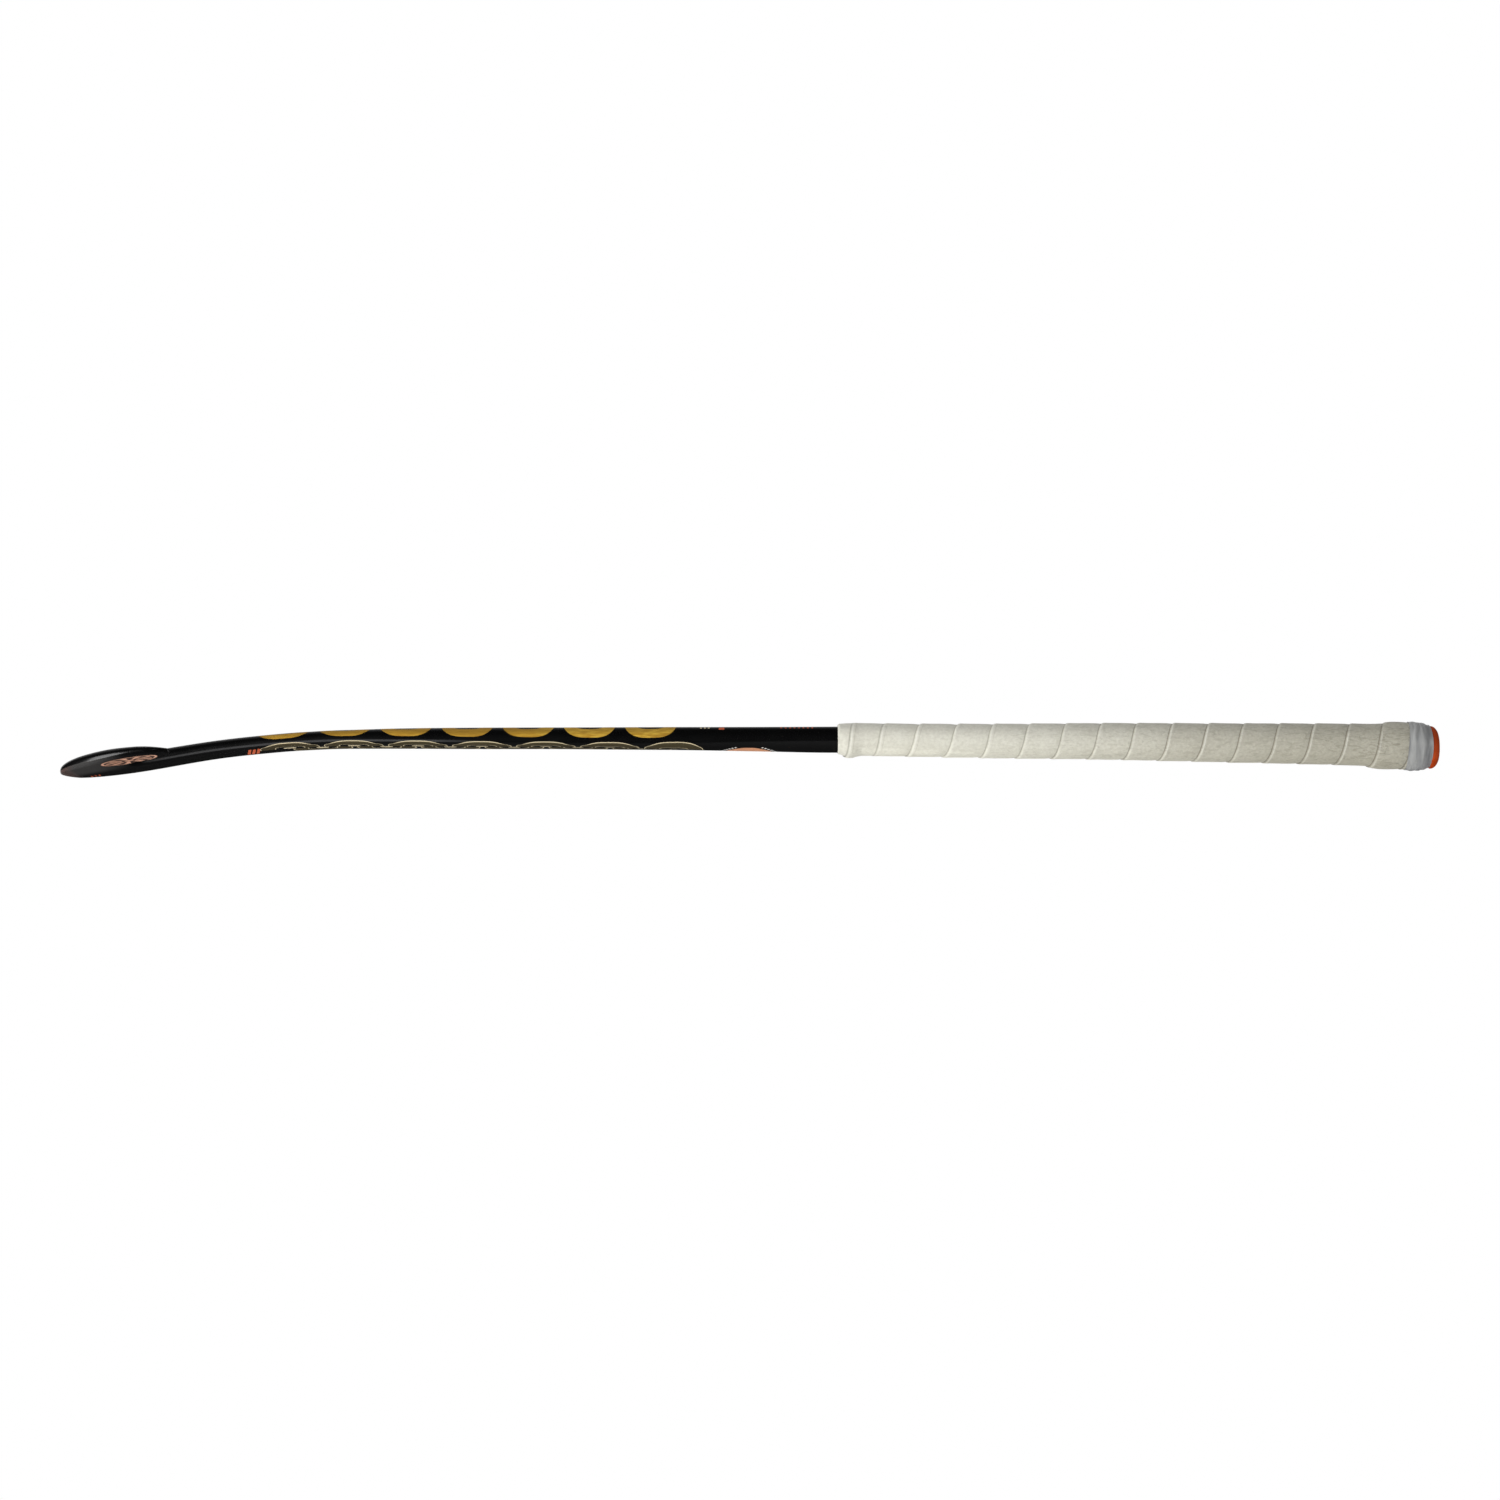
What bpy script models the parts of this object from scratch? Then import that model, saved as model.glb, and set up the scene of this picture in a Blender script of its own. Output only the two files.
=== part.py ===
"""Indoor hockey stick, lying on its playing face.

The butt points along +X and the hook towards -Y. The rounded back of the stick is up. Each shape is
first laid out in the stick's own lengths: distance from the heel, distance from the shaft's centre
line, and height above the ground. The origin is then put under the middle of the whole stick.
"""
import math

import bmesh
import bpy
from mathutils import Vector

# Overall
STICK_LENGTH = 0.927
FIT_GAP = 0.0003

# Head, seen from above
HOOK_RADIUS = 0.032
SHAFT_HALF_WIDTH = 0.023
HEEL_HALF_WIDTH = 0.024
TOE_HALF_WIDTH = 0.021
TOE_LENGTH = 0.020
TOE_ROUNDING = 0.016
TOE_TIP_FLAT = 0.0005

# Head, seen from the side
HEAD_THICKNESS = 0.0103
HEAD_FULL_FROM_TIP = 0.070
TOE_THICKNESS = 0.0074
HOOK_THICKNESS_AT_THIRD = 0.0093
TOE_TIP_THICKNESS = 0.0034
TOE_TIP_PINCH = 0.6
TOE_TIP_LIFT = 0.0008
FACE_SLOPE = 0.1636
REST_REACH = 0.0109
FACE_EDGE_HEIGHT = 0.0032
FACE_EDGE_WIDTH = 0.004
FACE_EDGE_MOST_OF_HEIGHT = 0.4
FACE_EDGE_MOST_OF_WIDTH = 0.5

# Shell and what fills it
SHELL_WALL = 0.0022
CAVITY_INTO_TOE = 0.002
CORE_REACH = 0.208
TUBE_WALL = 0.0008
PLUG_LENGTH = 0.034
PLUG_BORE_RADIUS = 0.005

# Shaft
HEAD_REACH = 0.103
BOW_PEAK = 0.196
BOW_HEIGHT = 0.00596
THICKNESS_AT_HEAD = 0.0098
GRIP_START = 0.5209
THICKNESS_AT_GRIP = 0.0174
HALF_WIDTH_AT_GRIP = 0.0150
BOTTOM_AT_GRIP = 0.0147

# Handle
SLEEVE_SEAT_RAMP = 0.003
SLEEVE_WALL_AT_START = 0.0005
SLEEVE_WALL_AT_FLARE = 0.002
HANDLE_HALF_WIDTH = 0.0152
HANDLE_THICKNESS_AT_START = 0.0176
HANDLE_THICKNESS_AT_FLARE = 0.0247
HANDLE_BOTTOM_AT_START = 0.01465
HANDLE_BOTTOM_AT_FLARE = 0.00545
FLARE_LENGTH = 0.0535
FLARE_THICKNESS = 0.0284
FLARE_HALF_WIDTH = 0.0168

# Grip tape, wound as one strip
TAPE_WIDTH = 0.0285
TAPE_PITCH = 0.0234
TAPE_EDGE_UNDER = 0.0005
TAPE_LAP_UNDER = 0.00085
TAPE_EDGE_OVER = 0.0004
TAPE_MIDDLE = 0.00145
LAP_GAP = 0.0005
LAP_DROP = 0.0025
TAPE_END_FROM_BUTT = 0.011
TAPE_LAST_WIDTH = 0.009
POINTS_PER_TURN = 24

# Finishing tape
FINISH_THICKNESS = 0.0006
FINISH_FROM_BUTT = 0.0235
FINISH_LOW_FROM_BUTT = 0.018
FINISH_CLOSE_IN = 0.0009

# Butt cap
CAP_HEAD = 0.0063
CAP_LIP = 0.0009
CAP_BOTTOM = 0.0014
CAP_HEIGHT = 0.0287
CAP_HALF_WIDTH = 0.0155
CAP_FLAT_HALF_HEIGHT = 0.006
SPIGOT_LENGTH = 0.024
SPIGOT_CHAMFER = 0.0015

# Section shape
RING_POINTS = 24
EDGE_SEGMENTS = 3
TIP_SEGMENTS = 4
DOME_SEGMENTS = 5
HOOK_STATIONS = 18
BACK_POWER = 2.4
OVAL_POWER = 2.2
SHARP_ANGLE = 35

# Where the strip's distance to itself is measured
GAP_STEP = 5
GAP_SAMPLES = 12

# Places that follow from the sizes above, as distances from the heel
HOOK_CENTRE = HOOK_RADIUS + HEEL_HALF_WIDTH
TOE_TIP = HOOK_CENTRE + TOE_LENGTH
CAVITY_FROM_TIP = TOE_LENGTH - CAVITY_INTO_TOE
FLARE_START = STICK_LENGTH - FLARE_LENGTH
CAP_SEAT = STICK_LENGTH - CAP_HEAD
SHELL_END = CAP_SEAT - FIT_GAP
SLEEVE_START = GRIP_START + SLEEVE_SEAT_RAMP
TAPE_END = STICK_LENGTH - TAPE_END_FROM_BUTT
FINISH_START = STICK_LENGTH - FINISH_FROM_BUTT
FINISH_LOW = STICK_LENGTH - FINISH_LOW_FROM_BUTT
PLUG_START = SHELL_END - PLUG_LENGTH
CAP_AXIS_HEIGHT = CAP_BOTTOM + CAP_HEIGHT / 2

# Layers that follow from the sizes above
TAPE_OVERLAP = TAPE_WIDTH - TAPE_PITCH
TAPE_TOP = TAPE_LAP_UNDER + LAP_GAP + TAPE_EDGE_OVER
FINISH_INNER = FIT_GAP + TAPE_TOP + FIT_GAP
FINISH_OUTER = FINISH_INNER + FINISH_THICKNESS
CORE_INSET = SHELL_WALL + FIT_GAP

# The stick's own lengths to the part's frame
ORIGIN = Vector((-STICK_LENGTH / 2, (2 * HOOK_RADIUS + TOE_HALF_WIDTH - SHAFT_HALF_WIDTH) / 2, 0.0))


def blend(start, end, share):
    return start + (end - start) * share


def ease(share):
    """A share from 0 to 1 that leaves and arrives level."""
    share = min(max(share, 0.0), 1.0)
    return share * share * (3 - 2 * share)


def spread(start, end, count):
    return [blend(start, end, i / (count - 1)) for i in range(count)]


def between(start, end, stations):
    """Start and end, with the stations that lie between them."""
    return [start] + sorted(x for x in set(stations) if start + FIT_GAP < x < end - FIT_GAP) + [end]


# Side view of the handle under the grip: distance from the heel, height of its under side,
# thickness and half width. Each row says how far it is from one end's size to the other's.
def handle_row(share, fall, swell):
    bottom = blend(HANDLE_BOTTOM_AT_START, HANDLE_BOTTOM_AT_FLARE, fall)
    thickness = blend(HANDLE_THICKNESS_AT_START, HANDLE_THICKNESS_AT_FLARE, swell)
    return (blend(GRIP_START, FLARE_START, share), bottom, thickness, HANDLE_HALF_WIDTH)


def flare_row(x, fall, swell, widen):
    bottom = blend(HANDLE_BOTTOM_AT_FLARE, FINISH_OUTER, fall)
    thickness = blend(HANDLE_THICKNESS_AT_FLARE, FLARE_THICKNESS, swell)
    return (x, bottom, thickness, blend(HANDLE_HALF_WIDTH, FLARE_HALF_WIDTH, widen))


HANDLE_ROWS = [
    handle_row(0.00, 0.0, 0.0),
    handle_row(0.05, 0.04, 0.085),
    handle_row(0.12, 0.105, 0.115),
    handle_row(0.31, 0.29, 0.28),
    handle_row(0.50, 0.42, 0.465),
    handle_row(0.69, 0.625, 0.66),
    handle_row(0.88, 0.84, 0.86),
    handle_row(1.00, 1.0, 1.0),
]
FLARE_ROWS = [
    flare_row(blend(FLARE_START, STICK_LENGTH, 0.28), 0.94, 0.73, 0.75),
    flare_row(blend(FLARE_START, STICK_LENGTH, 0.43), 1.0, 1.0, 1.0),
    flare_row(FINISH_START, 1.0, 0.92, 0.88),
    flare_row(FINISH_LOW, 1.0, 0.70, 0.69),
    flare_row(CAP_SEAT, 0.62, 0.03, 0.0),
]
BODY_ROWS = HANDLE_ROWS + FLARE_ROWS

BOTTOM_AT_HEAD = FACE_SLOPE * (HEAD_REACH - REST_REACH)


# Side view of the shell, in the same four columns. The bow is its share of the full bow's height.
def shaft_row(share, bow, swell, narrow):
    bottom = blend(BOTTOM_AT_HEAD, BOTTOM_AT_GRIP, share) + BOW_HEIGHT * bow
    thickness = blend(THICKNESS_AT_HEAD, THICKNESS_AT_GRIP, swell)
    half_width = blend(SHAFT_HALF_WIDTH, HALF_WIDTH_AT_GRIP, narrow)
    return (blend(HEAD_REACH, GRIP_START, share), bottom, thickness, half_width)


def row_between(before, after, x):
    """A row at x, on a straight line from one row to the next."""
    share = (x - before[0]) / (after[0] - before[0])
    return tuple(blend(a, b, share) for a, b in zip(before, after))


def seat_row(row):
    """The shell inside the handle: the handle's own line, less the sleeve that it carries."""
    share = (row[0] - SLEEVE_START) / (FLARE_START - SLEEVE_START)
    depth = FIT_GAP + blend(SLEEVE_WALL_AT_START, SLEEVE_WALL_AT_FLARE, share)
    return (row[0], row[1] + depth, row[2] - 2 * depth, row[3] - depth)


SLEEVE_ROWS = [row_between(HANDLE_ROWS[0], HANDLE_ROWS[1], SLEEVE_START)] + HANDLE_ROWS[1:]
SEAT_ROWS = [seat_row(row) for row in SLEEVE_ROWS]
BUTT_THICKNESS = SEAT_ROWS[-1][2]
BUTT_HALF_WIDTH = SEAT_ROWS[-1][3]
SHELL_ROWS = [
    (0.0, -FACE_SLOPE * REST_REACH, HEAD_THICKNESS, SHAFT_HALF_WIDTH),
    (HOOK_CENTRE, FACE_SLOPE * (HOOK_CENTRE - REST_REACH), HEAD_THICKNESS, SHAFT_HALF_WIDTH),
    shaft_row(0.00, 0.0, 0.0, 0.0),
    shaft_row(0.065, 0.49, 0.0, 0.0),
    shaft_row(0.13, 0.835, 0.025, 0.01),
    shaft_row(0.20, 1.0, 0.08, 0.05),
    shaft_row(0.29, 0.97, 0.235, 0.15),
    shaft_row(0.42, 0.86, 0.37, 0.325),
    shaft_row(0.55, 0.785, 0.42, 0.51),
    shaft_row(0.74, 0.455, 0.67, 0.75),
    shaft_row(0.87, 0.21, 0.84, 0.90),
    shaft_row(1.00, 0.0, 1.0, 1.0),
] + SEAT_ROWS + [
    (SHELL_END, CAP_AXIS_HEIGHT - BUTT_THICKNESS / 2, BUTT_THICKNESS, BUTT_HALF_WIDTH),
]

# Thickness of the hook, by distance from the toe's tip along its middle
TOE_ROWS = [
    (0.0, TOE_TIP_THICKNESS),
    (TOE_LENGTH, TOE_THICKNESS),
    (blend(TOE_LENGTH, HEAD_FULL_FROM_TIP, 0.34), HOOK_THICKNESS_AT_THIRD),
    (HEAD_FULL_FROM_TIP, HEAD_THICKNESS),
]

# Where the flat-faced section of the shaft turns into the oval of the handle
OVAL_FROM = blend(HEAD_REACH, GRIP_START, 0.55)
OVAL_AT = GRIP_START

# Stations along the shaft that the shell and what lies against it share
SHAFT_STATIONS = (
    spread(HOOK_CENTRE, BOW_PEAK, 9)
    + spread(BOW_PEAK, GRIP_START, 8)[1:]
    + spread(SLEEVE_START, FLARE_START, 9)
    + spread(FLARE_START, SHELL_END, 4)[1:]
)
FLARE_STATIONS = spread(FLARE_START, FINISH_START, 8) + [FINISH_LOW] + spread(FINISH_LOW, CAP_SEAT, 3)[1:]


def slope_at(rows, column, i):
    """Slope of a smooth line at one of its rows, level where the line turns back."""
    steps = [(b[column] - a[column]) / (b[0] - a[0]) for a, b in zip(rows, rows[1:])]
    before = steps[max(i - 1, 0)]
    after = steps[min(i, len(steps) - 1)]
    if before * after <= 0:
        return 0.0
    return 2 * before * after / (before + after)


def follow(rows, column, x):
    """Value of one column at x, on a smooth line through the rows that never overshoots them."""
    if x <= rows[0][0]:
        return rows[0][column]
    if x >= rows[-1][0]:
        return rows[-1][column]
    i = max(k for k in range(len(rows) - 1) if rows[k][0] <= x)
    length = rows[i + 1][0] - rows[i][0]
    t = (x - rows[i][0]) / length
    start = rows[i][column] * (1 + 2 * t) * (1 - t) ** 2
    end = rows[i + 1][column] * t * t * (3 - 2 * t)
    leave = slope_at(rows, column, i) * length * t * (1 - t) ** 2
    arrive = slope_at(rows, column, i + 1) * length * t * t * (t - 1)
    return start + end + leave + arrive


class Station:
    """One cross-section of the stick: its place, its sideways direction and its size."""

    def __init__(self, x, y, side, half_width, thickness, rows, lift=0.0, oval=0.0):
        self.x = x
        self.y = y
        self.side = side
        self.half_width = half_width
        self.thickness = thickness
        self.rows = rows
        self.lift = lift
        self.oval = oval


def shaft_station(x, rows=SHELL_ROWS):
    """A cross-section of the shaft or, with the handle's rows, of the handle under its grip."""
    oval = ease((x - OVAL_FROM) / (OVAL_AT - OVAL_FROM))
    return Station(x, 0.0, (0.0, 1.0), follow(rows, 3, x), follow(rows, 2, x), rows, oval=oval)


def hook_station(turn):
    """A cross-section on the hook's arc, from 0 at the shaft to 1 at the toe."""
    angle = math.pi / 2 + math.pi * turn
    side = (math.cos(angle), math.sin(angle))
    if turn < 0.5:
        half_width = blend(SHAFT_HALF_WIDTH, HEEL_HALF_WIDTH, ease(2 * turn))
    else:
        half_width = blend(HEEL_HALF_WIDTH, TOE_HALF_WIDTH, ease(2 * turn - 1))
    thickness = follow(TOE_ROWS, 1, TOE_LENGTH + math.pi * HOOK_RADIUS * (1 - turn))
    x = HOOK_CENTRE + HOOK_RADIUS * side[0]
    y = -HOOK_RADIUS + HOOK_RADIUS * side[1]
    return Station(x, y, side, half_width, thickness, SHELL_ROWS)


def toe_station(from_tip):
    """A cross-section of the toe, rounded off and thinned over its last stretch."""
    reach = 1 - min((from_tip + TOE_TIP_FLAT) / TOE_ROUNDING, 1.0)
    share = math.sqrt(1 - reach * reach)
    half_width = TOE_HALF_WIDTH * share
    thickness = follow(TOE_ROWS, 1, from_tip) * blend(TOE_TIP_PINCH, 1.0, share)
    lift = TOE_TIP_LIFT * (1 - share)
    return Station(TOE_TIP - from_tip, -2 * HOOK_RADIUS, (0.0, -1.0), half_width, thickness, SHELL_ROWS, lift)


def signed_power(value, power):
    return math.copysign(abs(value) ** power, value)


def flat_faced_point(index, half_width, height):
    """Point of a section with a flat face, rounded edges and a domed back."""
    edge = min(FACE_EDGE_HEIGHT, FACE_EDGE_MOST_OF_HEIGHT * height)
    corner = min(FACE_EDGE_WIDTH, FACE_EDGE_MOST_OF_WIDTH * half_width)
    quarter = RING_POINTS // 4
    mirrored = min(index, 2 * quarter - index)
    sign = 1 if index <= quarter else -1
    if index > 2 * quarter:
        angle = 2 * math.pi * index / RING_POINTS
        across = half_width * signed_power(math.cos(angle), 2 / BACK_POWER)
        up = edge - (height - edge) * signed_power(math.sin(angle), 2 / BACK_POWER)
        return across, up
    if mirrored <= EDGE_SEGMENTS:
        angle = math.pi / 2 * mirrored / EDGE_SEGMENTS
        across = half_width - corner * (1 - math.cos(angle))
        return sign * across, edge * (1 - math.sin(angle))
    share = (mirrored - EDGE_SEGMENTS) / (quarter - EDGE_SEGMENTS)
    return sign * (half_width - corner) * (1 - share), 0.0


def oval_point(index, half_width, height):
    """Point of an oval section."""
    angle = 2 * math.pi * index / RING_POINTS
    across = half_width * signed_power(math.cos(angle), 2 / OVAL_POWER)
    up = height / 2 * (1 - signed_power(math.sin(angle), 2 / OVAL_POWER))
    return across, up


def section_point(station, index, inset=0.0):
    """Point of a station's outline, moved inwards by the inset, or outwards by a negative one."""
    half_width = station.half_width - inset
    height = station.thickness - 2 * inset
    flat = flat_faced_point(index, half_width, height)
    oval = oval_point(index, half_width, height)
    across = blend(flat[0], oval[0], station.oval)
    x = station.x + across * station.side[0]
    y = station.y + across * station.side[1]
    z = follow(station.rows, 1, x) + station.lift + inset + blend(flat[1], oval[1], station.oval)
    return Vector((x, y, z)) + ORIGIN


def section(station, inset=0.0):
    """Outline of a station: heel side, face, toe side, then over the back."""
    return [section_point(station, index, inset) for index in range(RING_POINTS)]


def half_section(station, inset, from_spine, side):
    """Half of a station's outline, closed by a straight wall beside the spine."""
    quarter = RING_POINTS // 4
    if side > 0:
        indices = [i % RING_POINTS for i in range(3 * quarter, 5 * quarter + 1)]
    else:
        indices = list(range(quarter, 3 * quarter + 1))
    points = [section_point(station, index, inset) for index in indices]
    points[0].y += side * from_spine
    points[-1].y += side * from_spine
    return points


def oval_ring(x, half_width, half_height):
    """Oval about the cap's axis."""
    ring = []
    for index in range(RING_POINTS):
        across, up = oval_point(index, half_width, 2 * half_height)
        ring.append(Vector((x, across, CAP_AXIS_HEIGHT - half_height + up)) + ORIGIN)
    return ring


def grow(bm, ring, points):
    """Extrude a ring of vertices and put the new ring on its points."""
    edges = [bm.edges.get((ring[i - 1], ring[i])) for i in range(len(ring))]
    made = bmesh.ops.extrude_edge_only(bm, edges=edges)["geom"]
    new = {item for item in made if isinstance(item, bmesh.types.BMVert)}
    grown = []
    for vert, point in zip(ring, points):
        twin = next(e.other_vert(vert) for e in vert.link_edges if e.other_vert(vert) in new)
        twin.co = point
        grown.append(twin)
    return grown


def loft(rings, through=False):
    """Skin over rings of points: capped at both ends or, when through, closed on itself."""
    bm = bmesh.new()
    first = [bm.verts.new(point) for point in rings[0]]
    for i in range(len(first)):
        bm.edges.new((first[i - 1], first[i]))
    ring = first
    for points in rings[1:] + ([rings[0]] if through else []):
        ring = grow(bm, ring, points)
    if through:
        bmesh.ops.remove_doubles(bm, verts=first + ring, dist=0.000001)
    else:
        bm.faces.new(first)
        bm.faces.new(ring)
    bmesh.ops.recalc_face_normals(bm, faces=bm.faces)
    return bm


def pipe(outer, inner):
    """Open tube between an outer and an inner run of rings."""
    return loft(outer + inner[::-1], through=True)


def make_material(name, colour, roughness):
    material = bpy.data.materials.new(name)
    material.use_nodes = True
    shader = material.node_tree.nodes["Principled BSDF"]
    shader.inputs["Base Color"].default_value = (*colour, 1.0)
    shader.inputs["Roughness"].default_value = roughness
    shader.inputs["Metallic"].default_value = 0.0
    material.diffuse_color = (*colour, 1.0)
    return material


def add_piece(name, bm, material):
    mesh = bpy.data.meshes.new(name)
    bm.to_mesh(mesh)
    bm.free()
    mesh.shade_smooth()
    mesh.set_sharp_from_angle(angle=math.radians(SHARP_ANGLE))
    mesh.materials.append(material)
    piece = bpy.data.objects.new(name, mesh)
    bpy.context.scene.collection.objects.link(piece)
    return piece


def head_stations(from_tip, shaft_reach):
    """Stations from the toe, round the hook and up the shaft as far as shaft_reach."""
    angles = [math.pi / 2 * (i + 1) / TIP_SEGMENTS for i in range(TIP_SEGMENTS)]
    tip_steps = [TOE_ROUNDING * (1 - math.cos(angle)) for angle in angles]
    inside = [step for step in tip_steps if from_tip < step < TOE_LENGTH - FIT_GAP]
    toe = [toe_station(step) for step in [from_tip] + inside]
    hook = [hook_station(1 - i / HOOK_STATIONS) for i in range(HOOK_STATIONS)]
    shaft = [shaft_station(x) for x in between(HOOK_CENTRE, shaft_reach, SHAFT_STATIONS)]
    return toe + hook + shaft


def make_shell(material):
    """Laminate shell, hollow and open at the butt."""
    outer = [section(station) for station in head_stations(0, SHELL_END)]
    cavity = [section(station, SHELL_WALL) for station in head_stations(CAVITY_FROM_TIP, SHELL_END)]
    bm = loft(outer + cavity[::-1])
    ground = {"plane_co": (0.0, 0.0, 0.0), "plane_no": (0.0, 0.0, -1.0)}
    cut = bmesh.ops.bisect_plane(bm, geom=bm.verts[:] + bm.edges[:] + bm.faces[:], clear_outer=True, **ground)
    rim = [item for item in cut["geom_cut"] if isinstance(item, bmesh.types.BMEdge)]
    bmesh.ops.contextual_create(bm, geom=rim)
    bmesh.ops.recalc_face_normals(bm, faces=bm.faces)
    add_piece("stick_shell", bm, material)


def make_head_core(material):
    stations = head_stations(CAVITY_FROM_TIP + FIT_GAP, CORE_REACH)
    add_piece("head_core", loft([section(station, CORE_INSET) for station in stations]), material)


def make_inner_tube(name, side, material):
    """One of two tubes that lie side by side in the shaft; their inner walls make its spine."""
    start = CORE_REACH + FIT_GAP
    end = PLUG_START - FIT_GAP
    stations = [shaft_station(x) for x in between(start, end, SHAFT_STATIONS)]
    outer = [half_section(s, CORE_INSET, FIT_GAP / 2, side) for s in stations]
    inner = [half_section(s, CORE_INSET + TUBE_WALL, FIT_GAP / 2 + TUBE_WALL, side) for s in stations]
    add_piece(name, pipe(outer, inner), material)


def make_handle_plug(material):
    """Plug inside the end of the shell, bored for the cap's spigot."""
    stations = [shaft_station(x) for x in between(PLUG_START, SHELL_END, SHAFT_STATIONS)]
    outer = [section(station, CORE_INSET) for station in stations]
    bore = [oval_ring(station.x, PLUG_BORE_RADIUS, PLUG_BORE_RADIUS) for station in stations]
    add_piece("handle_plug", pipe(outer, bore), material)


def make_sleeve(name, start, end, stations, material):
    """Foam layer between the shell and the grip."""
    runs = between(start, end, stations)
    outer = [section(shaft_station(x, BODY_ROWS)) for x in runs]
    inner = [section(shaft_station(x), -FIT_GAP) for x in runs]
    add_piece(name, pipe(outer, inner), material)


def strip_height(from_right):
    """Height of the strip's outer side, which thins towards the edge that the next turn covers."""
    if from_right < TAPE_OVERLAP:
        return blend(TAPE_EDGE_UNDER, TAPE_LAP_UNDER, from_right / TAPE_OVERLAP)
    middle = TAPE_WIDTH / 2
    if from_right < middle:
        share = (from_right - TAPE_OVERLAP) / (middle - TAPE_OVERLAP)
        return blend(TAPE_LAP_UNDER, TAPE_MIDDLE, share)
    share = min((from_right - middle) / (middle - TAPE_OVERLAP), 1.0)
    return blend(TAPE_MIDDLE, TAPE_TOP, share)


def strip_profile(step):
    """Strip's cross-section at a step of the winding, as distances from the heel and heights.

    Gives the inner side from left to right, then the outer side back. From the second turn on,
    the leading edge climbs over the turn before it, with a gap.
    """
    lead = GRIP_START + TAPE_PITCH * (step / POINTS_PER_TURN - 1)
    left = max(GRIP_START, lead)
    right = min(lead + TAPE_WIDTH, TAPE_END)
    width = right - left
    lap_end = TAPE_OVERLAP + LAP_GAP
    drop_end = lap_end + LAP_DROP
    laps_over = step >= POINTS_PER_TURN

    def place(offset):
        if not laps_over:
            return left + offset * width / TAPE_WIDTH
        if offset <= drop_end:
            return left + offset
        return left + drop_end + (offset - drop_end) * (width - drop_end) / (TAPE_WIDTH - drop_end)

    lift = LAP_GAP if laps_over else 0.0
    under_start = lift + (TAPE_LAP_UNDER if laps_over else 0.0)
    under_end = lift + (TAPE_EDGE_UNDER if laps_over else 0.0)
    inner = [
        (left, under_start),
        (place(lap_end), under_end),
        (place(drop_end), 0.0),
        (place((drop_end + TAPE_WIDTH) / 2), 0.0),
        (right, 0.0),
    ]
    outer = [right, place(TAPE_WIDTH - TAPE_OVERLAP), place(TAPE_WIDTH / 2), left]
    heights = [strip_height(right - x) for x in outer]
    if laps_over:
        heights[-1] = TAPE_TOP
    return inner, list(zip(outer, heights))


def strip_steps():
    """Number of steps that the strip takes to its end."""
    last_lead = TAPE_END - TAPE_LAST_WIDTH
    return int((last_lead - GRIP_START) / TAPE_PITCH * POINTS_PER_TURN) + POINTS_PER_TURN + 1


def on_handle(x, index, height):
    """Point at a height over the handle, with the gap that the tape keeps to it."""
    return section_point(shaft_station(x, BODY_ROWS), index, -(FIT_GAP + height))


def along(profile, index):
    """Points close together on a run of the strip's cross-section."""
    points = []
    for (x0, h0), (x1, h1) in zip(profile, profile[1:]):
        for k in range(GAP_SAMPLES + 1):
            share = k / GAP_SAMPLES
            points.append(on_handle(blend(x0, x1, share), index, blend(h0, h1, share)))
    return points


def least_gap():
    """Least distance between a turn of the strip and the turn under it, measured on points.

    The upper turn counts from its leading edge to where it is down on the handle, and the lower
    one from its trailing edge over its outer side.
    """
    least = STICK_LENGTH
    for step in range(POINTS_PER_TURN, strip_steps(), GAP_STEP):
        index = step % RING_POINTS
        over = along(strip_profile(step)[0][:-2], index)
        inner, outer = strip_profile(step - POINTS_PER_TURN)
        under = along(inner[-1:] + outer, index)
        least = min(least, min((a - b).length for a in over for b in under))
    return least


def make_grip_tape(material):
    """Chamois strip, wound as one unbroken length with each turn lapped over the one before."""
    rings = []
    for step in range(strip_steps()):
        inner, outer = strip_profile(step)
        rings.append([on_handle(x, step % RING_POINTS, height) for x, height in inner + outer])
    add_piece("grip_tape", loft(rings), material)
    turns = (len(rings) - 1) / POINTS_PER_TURN
    print(f"grip tape: {turns:.1f} turns, least gap to itself {least_gap() * 1000:.2f} mm")


def make_finishing_tape(material):
    """Band that holds the grip's last turn down and draws in towards the cap."""
    end = CAP_SEAT - FIT_GAP
    outer = []
    inner = []
    for x in between(FINISH_START, end, FLARE_STATIONS + [TAPE_END]):
        close_in = FINISH_CLOSE_IN * ease((x - TAPE_END) / (end - TAPE_END))
        station = shaft_station(x, BODY_ROWS)
        outer.append(section(station, close_in - FINISH_OUTER))
        inner.append(section(station, close_in - FINISH_INNER))
    add_piece("finishing_tape", pipe(outer, inner), material)


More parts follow.
